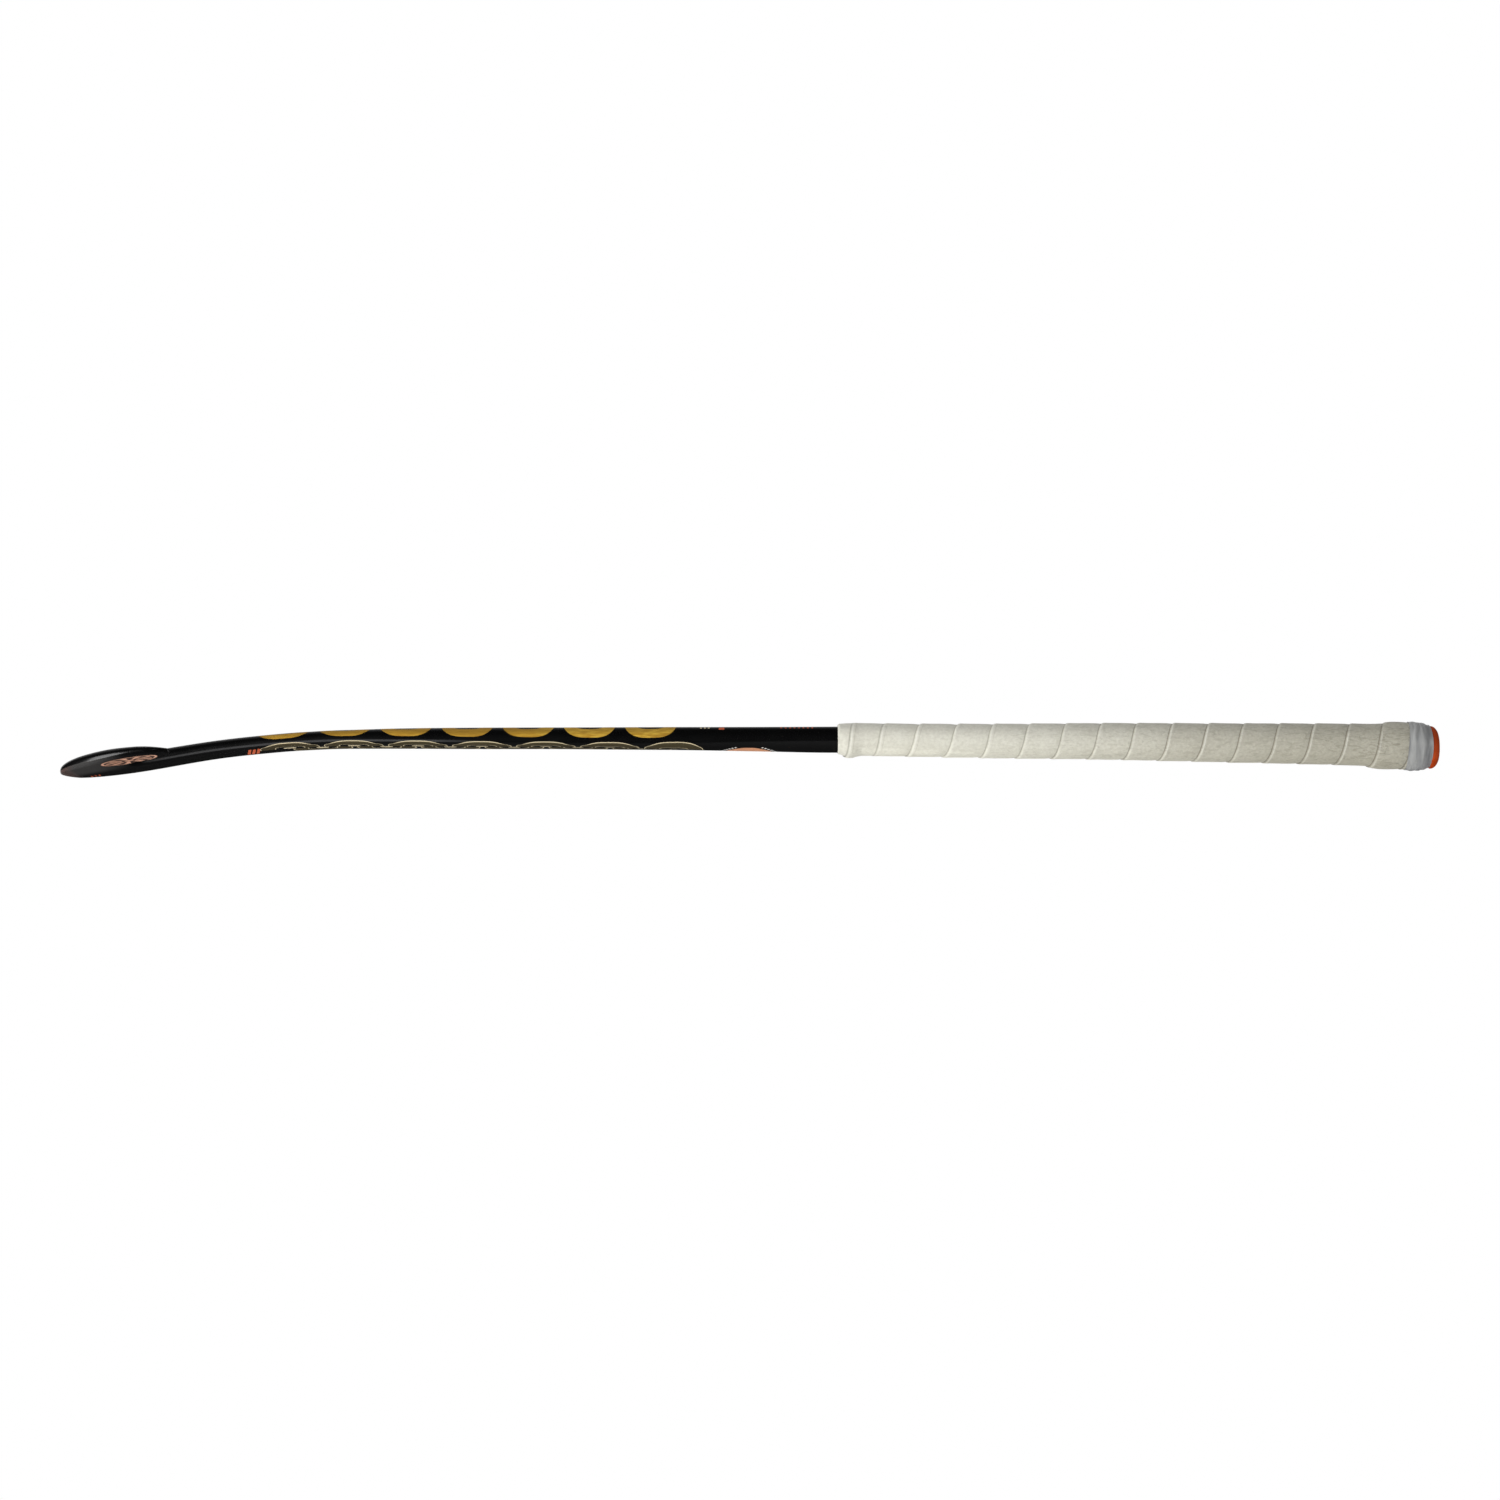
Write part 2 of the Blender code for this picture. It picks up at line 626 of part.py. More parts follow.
def make_butt_cap(material):
    """Moulded cap: a domed head and a spigot that plugs into the handle."""
    spigot_radius = PLUG_BORE_RADIUS - FIT_GAP
    spigot_start = CAP_SEAT - SPIGOT_LENGTH
    nose_radius = spigot_radius - SPIGOT_CHAMFER
    half_height = CAP_HEIGHT / 2
    rings = [
        oval_ring(spigot_start, nose_radius, nose_radius),
        oval_ring(spigot_start + SPIGOT_CHAMFER, spigot_radius, spigot_radius),
        oval_ring(CAP_SEAT, spigot_radius, spigot_radius),
        oval_ring(CAP_SEAT, CAP_HALF_WIDTH, half_height),
    ]
    shoulder = half_height - CAP_FLAT_HALF_HEIGHT
    dome_start = CAP_SEAT + CAP_LIP
    for i in range(DOME_SEGMENTS + 1):
        angle = math.pi / 2 * i / DOME_SEGMENTS
        drawn_in = shoulder * (1 - math.cos(angle))
        x = dome_start + (STICK_LENGTH - dome_start) * math.sin(angle)
        rings.append(oval_ring(x, CAP_HALF_WIDTH - drawn_in, half_height - drawn_in))
    add_piece("butt_cap", loft(rings), material)


def main():
    for old in list(bpy.data.objects):
        bpy.data.objects.remove(old)
    lacquer = make_material("black_lacquer", (0.012, 0.012, 0.013), 0.3)
    laminate = make_material("raw_laminate", (0.03, 0.03, 0.032), 0.5)
    foam = make_material("foam", (0.62, 0.55, 0.36), 0.9)
    chamois = make_material("chamois", (0.72, 0.70, 0.62), 0.85)
    vinyl = make_material("grey_vinyl", (0.27, 0.29, 0.31), 0.35)
    rubber = make_material("orange_rubber", (0.60, 0.07, 0.012), 0.5)

    make_shell(lacquer)
    make_head_core(foam)
    make_inner_tube("inner_tube_heel_side", 1, laminate)
    make_inner_tube("inner_tube_toe_side", -1, laminate)
    make_handle_plug(foam)
    make_sleeve("handle_sleeve", SLEEVE_START, FLARE_START - FIT_GAP, SHAFT_STATIONS, foam)
    make_sleeve("butt_collar", FLARE_START, SHELL_END, SHAFT_STATIONS + FLARE_STATIONS, foam)
    make_grip_tape(chamois)
    make_finishing_tape(vinyl)
    make_butt_cap(rubber)


main()
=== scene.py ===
"""Looks of the indoor hockey stick: fine surfaces, lacquer, prints, grip, tape and cap.

The stick lies on its playing face. The butt points along +X and the hook towards -Y. Distances
called along are measured from the heel, in metres.
"""
import math

import bmesh
import bpy
from mathutils import Matrix, Vector, noise


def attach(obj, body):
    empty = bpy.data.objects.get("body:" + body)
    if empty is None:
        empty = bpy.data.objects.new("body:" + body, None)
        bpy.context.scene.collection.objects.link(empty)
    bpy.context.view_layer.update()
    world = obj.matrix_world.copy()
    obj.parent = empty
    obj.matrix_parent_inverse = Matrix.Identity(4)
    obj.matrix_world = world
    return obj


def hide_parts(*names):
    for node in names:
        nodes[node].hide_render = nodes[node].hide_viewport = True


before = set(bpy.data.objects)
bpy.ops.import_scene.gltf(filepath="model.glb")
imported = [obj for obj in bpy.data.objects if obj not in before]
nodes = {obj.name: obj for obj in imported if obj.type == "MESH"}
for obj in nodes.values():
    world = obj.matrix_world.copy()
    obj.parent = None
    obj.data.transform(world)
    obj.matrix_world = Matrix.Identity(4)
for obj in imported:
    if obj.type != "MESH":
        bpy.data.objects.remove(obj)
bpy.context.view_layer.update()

# Overall sizes, as in the solids
STICK_LENGTH = 0.927
HOOK_RADIUS = 0.032
SHAFT_HALF_WIDTH = 0.023
HEEL_HALF_WIDTH = 0.024
TOE_HALF_WIDTH = 0.021
TOE_LENGTH = 0.020
TOE_ROUNDING = 0.016
TOE_TIP_FLAT = 0.0005
HEAD_THICKNESS = 0.0103
HEAD_FULL_FROM_TIP = 0.070
TOE_THICKNESS = 0.0074
HOOK_THICKNESS_AT_THIRD = 0.0093
TOE_TIP_THICKNESS = 0.0034
TOE_TIP_PINCH = 0.6
TOE_TIP_LIFT = 0.0008
FACE_SLOPE = 0.1636
REST_REACH = 0.0109
FACE_EDGE_HEIGHT = 0.0032
FACE_EDGE_WIDTH = 0.004
FACE_EDGE_MOST_OF_HEIGHT = 0.4
FACE_EDGE_MOST_OF_WIDTH = 0.5
SHELL_WALL = 0.0022
CAVITY_INTO_TOE = 0.002
HEAD_REACH = 0.103
BOW_HEIGHT = 0.00596
THICKNESS_AT_HEAD = 0.0098
GRIP_START = 0.5209
THICKNESS_AT_GRIP = 0.0174
HALF_WIDTH_AT_GRIP = 0.0150
BOTTOM_AT_GRIP = 0.0147
SLEEVE_SEAT_RAMP = 0.003
SLEEVE_WALL_AT_START = 0.0005
SLEEVE_WALL_AT_FLARE = 0.002
HANDLE_HALF_WIDTH = 0.0152
HANDLE_THICKNESS_AT_START = 0.0176
HANDLE_THICKNESS_AT_FLARE = 0.0247
HANDLE_BOTTOM_AT_START = 0.01465
HANDLE_BOTTOM_AT_FLARE = 0.00545
FLARE_LENGTH = 0.0535
FLARE_THICKNESS = 0.0284
FLARE_HALF_WIDTH = 0.0168
FIT_GAP = 0.0003

# Grip strip
TAPE_WIDTH = 0.0285
TAPE_PITCH = 0.0234
TAPE_TOP = 0.00175
TAPE_END_FROM_BUTT = 0.011
TAPE_LAST_WIDTH = 0.009
LAP_GAP = 0.0001
LAP_DROP = 0.0012

# Finishing tape and butt cap
FINISH_THICKNESS = 0.0006
FINISH_FROM_BUTT = 0.0235
FINISH_LOW_FROM_BUTT = 0.018
FINISH_CLOSE_IN = 0.0009
CAP_HEAD = 0.0063
CAP_LIP = 0.0009
CAP_BOTTOM = 0.0014
CAP_HEIGHT = 0.0287
CAP_HALF_WIDTH = 0.0155
CAP_FLAT_HALF_HEIGHT = 0.006
PLUG_BORE_RADIUS = 0.005
SPIGOT_LENGTH = 0.024
SPIGOT_CHAMFER = 0.0015

# Section shape, with four times the points of the solids
RING_POINTS = 96
QUARTER = RING_POINTS // 4
EDGE_SEGMENTS = 12
BACK_POWER = 2.4
OVAL_POWER = 2.2
TIP_SEGMENTS = 14
HOOK_STATIONS = 72
SHAFT_STEP = 0.005
COLLAR_STEP = 0.002
SHARP_ANGLE = 35
MERGE_DISTANCE = 0.000001

# Places that follow, as distances from the heel
HOOK_CENTRE = HOOK_RADIUS + HEEL_HALF_WIDTH
TOE_TIP = HOOK_CENTRE + TOE_LENGTH
FLARE_START = STICK_LENGTH - FLARE_LENGTH
CAP_SEAT = STICK_LENGTH - CAP_HEAD
SHELL_END = CAP_SEAT - FIT_GAP
SLEEVE_START = GRIP_START + SLEEVE_SEAT_RAMP
TAPE_END = STICK_LENGTH - TAPE_END_FROM_BUTT
FINISH_START = STICK_LENGTH - FINISH_FROM_BUTT
FINISH_LOW = STICK_LENGTH - FINISH_LOW_FROM_BUTT
FINISH_INNER = FIT_GAP + TAPE_TOP + FIT_GAP
FINISH_OUTER = FINISH_INNER + FINISH_THICKNESS
CAP_AXIS_HEIGHT = CAP_BOTTOM + CAP_HEIGHT / 2
ORIGIN = Vector((-STICK_LENGTH / 2, (2 * HOOK_RADIUS + TOE_HALF_WIDTH - SHAFT_HALF_WIDTH) / 2, 0.0))


def blend(start, end, share):
    return start + (end - start) * share


def ease(share):
    """A share from 0 to 1 that leaves and arrives level."""
    share = min(max(share, 0.0), 1.0)
    return share * share * (3 - 2 * share)


def every(start, end, step):
    """Evenly spread places from start to end, about a step apart."""
    count = max(1, round((end - start) / step))
    return [blend(start, end, i / count) for i in range(count + 1)]


# Columns of the rows, which start with the distance from the heel. The rows of the handle, the flare
# and the shaft say how far each is from one end's size to the other's.
BOTTOM = 1
THICKNESS = 2
HALF_WIDTH = 3


def handle_row(share, fall, swell):
    bottom = blend(HANDLE_BOTTOM_AT_START, HANDLE_BOTTOM_AT_FLARE, fall)
    thickness = blend(HANDLE_THICKNESS_AT_START, HANDLE_THICKNESS_AT_FLARE, swell)
    return (blend(GRIP_START, FLARE_START, share), bottom, thickness, HANDLE_HALF_WIDTH)


def flare_row(x, fall, swell, widen):
    bottom = blend(HANDLE_BOTTOM_AT_FLARE, FINISH_OUTER, fall)
    thickness = blend(HANDLE_THICKNESS_AT_FLARE, FLARE_THICKNESS, swell)
    return (x, bottom, thickness, blend(HANDLE_HALF_WIDTH, FLARE_HALF_WIDTH, widen))


HANDLE_ROWS = [
    handle_row(0.00, 0.0, 0.0),
    handle_row(0.05, 0.04, 0.085),
    handle_row(0.12, 0.105, 0.115),
    handle_row(0.31, 0.29, 0.28),
    handle_row(0.50, 0.42, 0.465),
    handle_row(0.69, 0.625, 0.66),
    handle_row(0.88, 0.84, 0.86),
    handle_row(1.00, 1.0, 1.0),
]
FLARE_ROWS = [
    flare_row(blend(FLARE_START, STICK_LENGTH, 0.28), 0.94, 0.73, 0.75),
    flare_row(blend(FLARE_START, STICK_LENGTH, 0.43), 1.0, 1.0, 1.0),
    flare_row(FINISH_START, 1.0, 0.92, 0.88),
    flare_row(FINISH_LOW, 1.0, 0.70, 0.69),
    flare_row(CAP_SEAT, 0.62, 0.03, 0.0),
]
BODY_ROWS = HANDLE_ROWS + FLARE_ROWS

BOTTOM_AT_HEAD = FACE_SLOPE * (HEAD_REACH - REST_REACH)


def shaft_row(share, bow, swell, narrow):
    bottom = blend(BOTTOM_AT_HEAD, BOTTOM_AT_GRIP, share) + BOW_HEIGHT * bow
    thickness = blend(THICKNESS_AT_HEAD, THICKNESS_AT_GRIP, swell)
    half_width = blend(SHAFT_HALF_WIDTH, HALF_WIDTH_AT_GRIP, narrow)
    return (blend(HEAD_REACH, GRIP_START, share), bottom, thickness, half_width)


def row_between(before, after, x):
    share = (x - before[0]) / (after[0] - before[0])
    return tuple(blend(a, b, share) for a, b in zip(before, after))


def seat_row(row):
    """The shell inside the handle: the handle's own line, less the sleeve that it carries."""
    x, bottom, thickness, half_width = row
    share = (x - SLEEVE_START) / (FLARE_START - SLEEVE_START)
    depth = FIT_GAP + blend(SLEEVE_WALL_AT_START, SLEEVE_WALL_AT_FLARE, share)
    return (x, bottom + depth, thickness - 2 * depth, half_width - depth)


SLEEVE_ROWS = [row_between(HANDLE_ROWS[0], HANDLE_ROWS[1], SLEEVE_START)] + HANDLE_ROWS[1:]
SEAT_ROWS = [seat_row(row) for row in SLEEVE_ROWS]
BUTT_THICKNESS = SEAT_ROWS[-1][THICKNESS]
BUTT_HALF_WIDTH = SEAT_ROWS[-1][HALF_WIDTH]
SHELL_ROWS = [
    (0.0, -FACE_SLOPE * REST_REACH, HEAD_THICKNESS, SHAFT_HALF_WIDTH),
    (HOOK_CENTRE, FACE_SLOPE * (HOOK_CENTRE - REST_REACH), HEAD_THICKNESS, SHAFT_HALF_WIDTH),
    shaft_row(0.00, 0.0, 0.0, 0.0),
    shaft_row(0.065, 0.49, 0.0, 0.0),
    shaft_row(0.13, 0.835, 0.025, 0.01),
    shaft_row(0.20, 1.0, 0.08, 0.05),
    shaft_row(0.29, 0.97, 0.235, 0.15),
    shaft_row(0.42, 0.86, 0.37, 0.325),
    shaft_row(0.55, 0.785, 0.42, 0.51),
    shaft_row(0.74, 0.455, 0.67, 0.75),
    shaft_row(0.87, 0.21, 0.84, 0.90),
    shaft_row(1.00, 0.0, 1.0, 1.0),
] + SEAT_ROWS + [
    (SHELL_END, CAP_AXIS_HEIGHT - BUTT_THICKNESS / 2, BUTT_THICKNESS, BUTT_HALF_WIDTH),
]
TOE_ROWS = [
    (0.0, TOE_TIP_THICKNESS),
    (TOE_LENGTH, TOE_THICKNESS),
    (blend(TOE_LENGTH, HEAD_FULL_FROM_TIP, 0.34), HOOK_THICKNESS_AT_THIRD),
    (HEAD_FULL_FROM_TIP, HEAD_THICKNESS),
]

# Outer side of one turn of the grip: distance from its leading edge, and height over the handle.
# The last rows are under the next turn.
TURN_ROWS = [
    (0.0, 0.00126),
    (0.0004, 0.00152),
    (0.0011, 0.00172),
    (0.0026, 0.00166),
    (0.0070, 0.00154),
    (0.0140, 0.00148),
    (0.0195, 0.00138),
    (0.0222, 0.00118),
    (TAPE_PITCH, 0.00102),
    (TAPE_PITCH + 0.0030, 0.00080),
    (TAPE_WIDTH, 0.00050),
]

# The section turns from flat-faced to oval between these places
OVAL_FROM = blend(HEAD_REACH, GRIP_START, 0.55)
OVAL_AT = GRIP_START


def slope_at(rows, column, i):
    """Slope of a smooth line at one of its rows, level where the line turns back."""
    steps = [(b[column] - a[column]) / (b[0] - a[0]) for a, b in zip(rows, rows[1:])]
    before = steps[max(i - 1, 0)]
    after = steps[min(i, len(steps) - 1)]
    if before * after <= 0:
        return 0.0
    return 2 * before * after / (before + after)


# Slopes worked out so far, by list and column
SLOPES = {}


def follow(rows, x, column=1):
    """Value of one column at x, on a smooth line through the rows that never overshoots them."""
    if x <= rows[0][0]:
        return rows[0][column]
    if x >= rows[-1][0]:
        return rows[-1][column]
    key = (id(rows), column)
    if key not in SLOPES:
        SLOPES[key] = [slope_at(rows, column, k) for k in range(len(rows))]
    i = max(k for k in range(len(rows) - 1) if rows[k][0] <= x)
    length = rows[i + 1][0] - rows[i][0]
    t = (x - rows[i][0]) / length
    start = rows[i][column] * (1 + 2 * t) * (1 - t) ** 2
    end = rows[i + 1][column] * t * t * (3 - 2 * t)
    leave = SLOPES[key][i] * length * t * (1 - t) ** 2
    arrive = SLOPES[key][i + 1] * length * t * t * (t - 1)
    return start + end + leave + arrive


class Station:
    """One cross-section of the stick: its place, its sideways direction and its size."""

    def __init__(self, x, y, side, half_width, thickness, rows, lift=0.0, oval=0.0):
        self.x = x
        self.y = y
        self.side = side
        self.half_width = half_width
        self.thickness = thickness
        self.rows = rows
        self.lift = lift
        self.oval = oval


def shaft_station(x, rows=SHELL_ROWS):
    oval = ease((x - OVAL_FROM) / (OVAL_AT - OVAL_FROM))
    half_width = follow(rows, x, HALF_WIDTH)
    return Station(x, 0.0, (0.0, 1.0), half_width, follow(rows, x, THICKNESS), rows, oval=oval)


def hook_station(turn):
    """A cross-section on the hook's arc, from 0 at the shaft to 1 at the toe."""
    angle = math.pi / 2 + math.pi * turn
    side = (math.cos(angle), math.sin(angle))
    if turn < 0.5:
        half_width = blend(SHAFT_HALF_WIDTH, HEEL_HALF_WIDTH, ease(2 * turn))
    else:
        half_width = blend(HEEL_HALF_WIDTH, TOE_HALF_WIDTH, ease(2 * turn - 1))
    thickness = follow(TOE_ROWS, TOE_LENGTH + math.pi * HOOK_RADIUS * (1 - turn))
    x = HOOK_CENTRE + HOOK_RADIUS * side[0]
    y = -HOOK_RADIUS + HOOK_RADIUS * side[1]
    return Station(x, y, side, half_width, thickness, SHELL_ROWS)


def toe_station(from_tip):
    """A cross-section of the toe, rounded off and thinned over its last stretch."""
    reach = 1 - min((from_tip + TOE_TIP_FLAT) / TOE_ROUNDING, 1.0)
    share = math.sqrt(1 - reach * reach)
    half_width = TOE_HALF_WIDTH * share
    thickness = follow(TOE_ROWS, from_tip) * blend(TOE_TIP_PINCH, 1.0, share)
    lift = TOE_TIP_LIFT * (1 - share)
    x = TOE_TIP - from_tip
    return Station(x, -2 * HOOK_RADIUS, (0.0, -1.0), half_width, thickness, SHELL_ROWS, lift)


def signed_power(value, power):
    return math.copysign(abs(value) ** power, value)


def flat_faced_point(index, half_width, height):
    """Point of a section with a flat face, rounded edges and a domed back."""
    edge = min(FACE_EDGE_HEIGHT, FACE_EDGE_MOST_OF_HEIGHT * height)
    corner = min(FACE_EDGE_WIDTH, FACE_EDGE_MOST_OF_WIDTH * half_width)
    mirrored = min(index, 2 * QUARTER - index)
    sign = 1 if index <= QUARTER else -1
    if index > 2 * QUARTER:
        angle = 2 * math.pi * index / RING_POINTS
        across = half_width * signed_power(math.cos(angle), 2 / BACK_POWER)
        up = edge - (height - edge) * signed_power(math.sin(angle), 2 / BACK_POWER)
        return across, up
    if mirrored <= EDGE_SEGMENTS:
        angle = math.pi / 2 * mirrored / EDGE_SEGMENTS
        across = half_width - corner * (1 - math.cos(angle))
        return sign * across, edge * (1 - math.sin(angle))
    share = (mirrored - EDGE_SEGMENTS) / (QUARTER - EDGE_SEGMENTS)
    return sign * (half_width - corner) * (1 - share), 0.0


def oval_point(index, half_width, height):
    angle = 2 * math.pi * index / RING_POINTS
    across = half_width * signed_power(math.cos(angle), 2 / OVAL_POWER)
    up = height / 2 * (1 - signed_power(math.sin(angle), 2 / OVAL_POWER))
    return across, up


def section_point(station, index, inset=0.0):
    """Point of a station's outline, moved inwards by the inset, or outwards by a negative one."""
    half_width = station.half_width - inset
    height = station.thickness - 2 * inset
    flat = flat_faced_point(index, half_width, height)
    oval = oval_point(index, half_width, height)
    across = blend(flat[0], oval[0], station.oval)
    x = station.x + across * station.side[0]
    y = station.y + across * station.side[1]
    up = blend(flat[1], oval[1], station.oval)
    z = follow(station.rows, x, BOTTOM) + station.lift + inset + up
    return Vector((x, y, z)) + ORIGIN


def section(station, inset=0.0):
    """Outline of a station: heel side, face, toe side, then over the back."""
    return [section_point(station, index, inset) for index in range(RING_POINTS)]


def oval_ring(x, half_width, half_height):
    """Oval about the cap's axis."""
    ring = []
    for index in range(RING_POINTS):
        across, up = oval_point(index, half_width, 2 * half_height)
        ring.append(Vector((x, across, CAP_AXIS_HEIGHT - half_height + up)) + ORIGIN)
    return ring


def grow(bm, ring, points):
    """Extrude a ring of vertices and put the new ring on its points."""
    edges = [bm.edges.get((ring[i - 1], ring[i])) for i in range(len(ring))]
    made = bmesh.ops.extrude_edge_only(bm, edges=edges)["geom"]
    new = {item for item in made if isinstance(item, bmesh.types.BMVert)}
    grown = []
    for vert, point in zip(ring, points):
        twin = next(e.other_vert(vert) for e in vert.link_edges if e.other_vert(vert) in new)
        twin.co = point
        grown.append(twin)
    return grown


def loft(rings, through=False, mark=None, marks=()):
    """Skin over rings of points: capped at both ends or, when through, closed on itself.

    Marks are vectors kept with the points of the first rings, under the name mark.
    """
    bm = bmesh.new()
    layer = bm.verts.layers.float_vector.new(mark) if mark else None
    first = [bm.verts.new(point) for point in rings[0]]
    for i in range(len(first)):
        bm.edges.new((first[i - 1], first[i]))
    ring = first
    for i, points in enumerate(rings + ([rings[0]] if through else [])):
        if i > 0:
            ring = grow(bm, ring, points)
        if i < len(marks):
            for vert, value in zip(ring, marks[i]):
                vert[layer] = value
    if through:
        bmesh.ops.remove_doubles(bm, verts=first + ring, dist=MERGE_DISTANCE)
    else:
        bm.faces.new(first)
        bm.faces.new(ring)
    bmesh.ops.recalc_face_normals(bm, faces=bm.faces)
    return bm


def pipe(outer, inner):
    """Open tube between an outer and an inner run of rings."""
    return loft(outer + inner[::-1], through=True)


def add_piece(name, bm, material, replaced):
    """Put a finished mesh in the scene, on the body it rides and in place of its solid."""
    mesh = bpy.data.meshes.new(name)
    bm.to_mesh(mesh)
    bm.free()
    mesh.shade_smooth()
    mesh.set_sharp_from_angle(angle=math.radians(SHARP_ANGLE))
    mesh.materials.append(material)
    piece = bpy.data.objects.new(name, mesh)
    bpy.context.scene.collection.objects.link(piece)
    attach(piece, "root")
    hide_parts(replaced)


# Node trees and finishes: the spread that holds most of any noise, and how soft the edges of lines
# and of inked rounds are
NOISE_SPREAD = (0.3, 0.7)
LINE_EDGE = 0.00012
INK_EDGE = 0.0003


class Nodes:
    """The steps that build a node tree."""

    def __init__(self, tree):
        self.tree = tree

    def feed(self, socket, value):
        """Join an output to a socket, or write a plain value there."""
        if isinstance(value, bpy.types.NodeSocket):
            self.tree.links.new(value, socket)
        elif isinstance(value, tuple) and socket.type == "RGBA":
            socket.default_value = (*value, 1.0)
        else:
            socket.default_value = value

    def node(self, kind, inputs):
        """A new node, fed by the names or numbers of its inputs."""
        made = self.tree.nodes.new("ShaderNode" + kind)
        for name, value in inputs.items():
            self.feed(made.inputs[name], value)
        return made

    def math(self, operation, first, second=0.0):
        node = self.node("Math", {0: first, 1: second})
        node.operation = operation
        return node.outputs[0]

    def add(self, first, second):
        return self.math("ADD", first, second)

    def less(self, first, second):
        return self.math("SUBTRACT", first, second)

    def times(self, first, second):
        return self.math("MULTIPLY", first, second)

    def size(self, value):
        return self.math("ABSOLUTE", value)

    def past_whole(self, value):
        return self.math("FRACT", value)

    def distance(self, first, second):
        return self.math("SQRT", self.add(self.times(first, first), self.times(second, second)))

    def all_of(self, first, *others):
        """Where all the masks are."""
        for mask in others:
            first = self.times(first, mask)
        return first

    def any_of(self, first, *others):
        """Where at least one of the masks is."""
        for mask in others:
            first = self.math("MAXIMUM", first, mask)
        return first

    def rise(self, value, low, high, start=0.0, end=1.0):
        """A smooth step from start to end as the value goes from low to high."""
        limits = {"From Min": low, "From Max": high, "To Min": start, "To Max": end}
        node = self.node("MapRange", {"Value": value, **limits})
        node.interpolation_type = "SMOOTHSTEP"
        return node.outputs["Result"]

    def fall(self, value, low, high):
        """1 below low and 0 above high."""
        return self.rise(value, low, high, 1.0, 0.0)

    def inside(self, radius, limit):
        return self.fall(radius, limit, limit + INK_EDGE)

    def between(self, value, low, high, soft=LINE_EDGE):
        """1 where the value lies between low and high, with soft edges."""
        above = self.rise(value, low - soft, low + soft)
        return self.all_of(above, self.fall(value, high - soft, high + soft))

    def parts(self, vector):
        return tuple(self.node("SeparateXYZ", {0: vector}).outputs)

    def object_place(self):
        return self.node("TexCoord", {}).outputs["Object"]

    def attribute(self, name):
        """The three numbers that a piece keeps with its points under this name."""
        node = self.node("Attribute", {})
        node.attribute_name = name
        return self.parts(node.outputs["Vector"])

    def stretched(self, scale, turn, tilt=0.0):
        """Object coordinates, tilted about Y, turned about Z and scaled per axis."""
        turned = {"Rotation": (0.0, tilt, turn), "Scale": scale}
        return self.node("Mapping", {"Vector": self.object_place(), **turned}).outputs[0]

    def grain(self, scale, detail, roughness=0.55, place=None, distortion=0.0):
        """Noise, with the scale in lumps to the metre unless a stretched place is given."""
        shape = {"Scale": scale, "Detail": detail, "Roughness": roughness, "Distortion": distortion}
        return self.node("TexNoise", {"Vector": place or self.object_place(), **shape}).outputs["Fac"]

    def cells(self, scale):
        """Distance from the middle of the nearest cell."""
        return self.node("TexVoronoi", {"Vector": self.object_place(), "Scale": scale}).outputs["Distance"]

    def mix(self, share, first, second, kind="Color"):
        """From the first, at share 0, to the second: colours, or numbers where the kind is Float."""
        node = self.node("Mix", {})
        node.data_type = "RGBA" if kind == "Color" else "FLOAT"
        sockets = {socket.identifier: socket for socket in node.inputs}
        self.feed(sockets["Factor_Float"], share)
        self.feed(sockets["A_" + kind], first)
        self.feed(sockets["B_" + kind], second)
        return next(socket for socket in node.outputs if socket.identifier == "Result_" + kind)

    def bump(self, height, strength, distance, under=None):
        """Relief, on top of what is under it."""
        relief = {"Height": height, "Strength": strength, "Distance": distance}
        if under:
            relief["Normal"] = under
        return self.node("Bump", relief).outputs[0]


class Finish(Nodes):
    """A material, and the colour laid down on it so far."""

    def __init__(self, name, colour, roughness, specular, sheen=0.0):
        self.material = bpy.data.materials.new(name)
        self.material.use_nodes = True
        self.material.diffuse_color = (*colour, 1.0)
        super().__init__(self.material.node_tree)
        self.shader = self.tree.nodes["Principled BSDF"]
        self.colour = colour
        self.set("Base Color", colour)
        self.set("Roughness", roughness)
        self.set("Specular IOR Level", specular)
        self.set("Sheen Weight", sheen)

    def set(self, name, value):
        self.feed(self.shader.inputs[name], value)

    def vary(self, pattern, low, high, dark, light):
        """Start from a colour that goes from dark to light as the pattern goes from low to high."""
        self.colour = self.mix(self.rise(pattern, low, high), dark, light)

    def lay(self, mask, colour):
        """Lay a colour over what is there, as far as the mask lets it show."""
        self.colour = self.mix(mask, self.colour, colour)

    def finished(self, roughness, relief):
        self.set("Base Color", self.colour)
        self.set("Roughness", roughness)
        self.set("Normal", relief)
        return self.material


# Prints on the lacquer: places from the heel, and widths. Two rows of scales meet in the middle of
# the back, and two more, in outline, in the middle of the face.
SCALE_COUNT = 7
SCALE_EYE = 0.0040
SCALE_SQUARENESS = 3.2
BACK_SCALE_START = 0.1268
BACK_SCALE_PITCH = 0.0412
BACK_SCALE_DEPTH = 0.0188
BACK_SCALE_RADIUS = 0.0172
BACK_SCALE_HOLE = 0.0088
FACE_SCALE_START = 0.1293
FACE_SCALE_PITCH = 0.0432
FACE_SCALE_DEPTH = 0.0215
FACE_SCALE_RADIUS = 0.0200
FACE_SCALE_HOLE = 0.0095
FACE_LINE = 0.0006
MIDDLE_GAP = 0.0009
MIDDLE_GAP_EDGE = 1.2 * MIDDLE_GAP
MIDDLE_STEP = 0.0001
ROW_END_SOFT = 0.002
DISC_AT = (0.4610, 0.0062)
DISC_RADIUS = 0.0160
DASHES = 44
DASH_RING_RADIUS = 0.0178
DASH_WIDTH = 0.0016
DASHES_FROM = 0.0080
DASHES_SOFT = 0.001
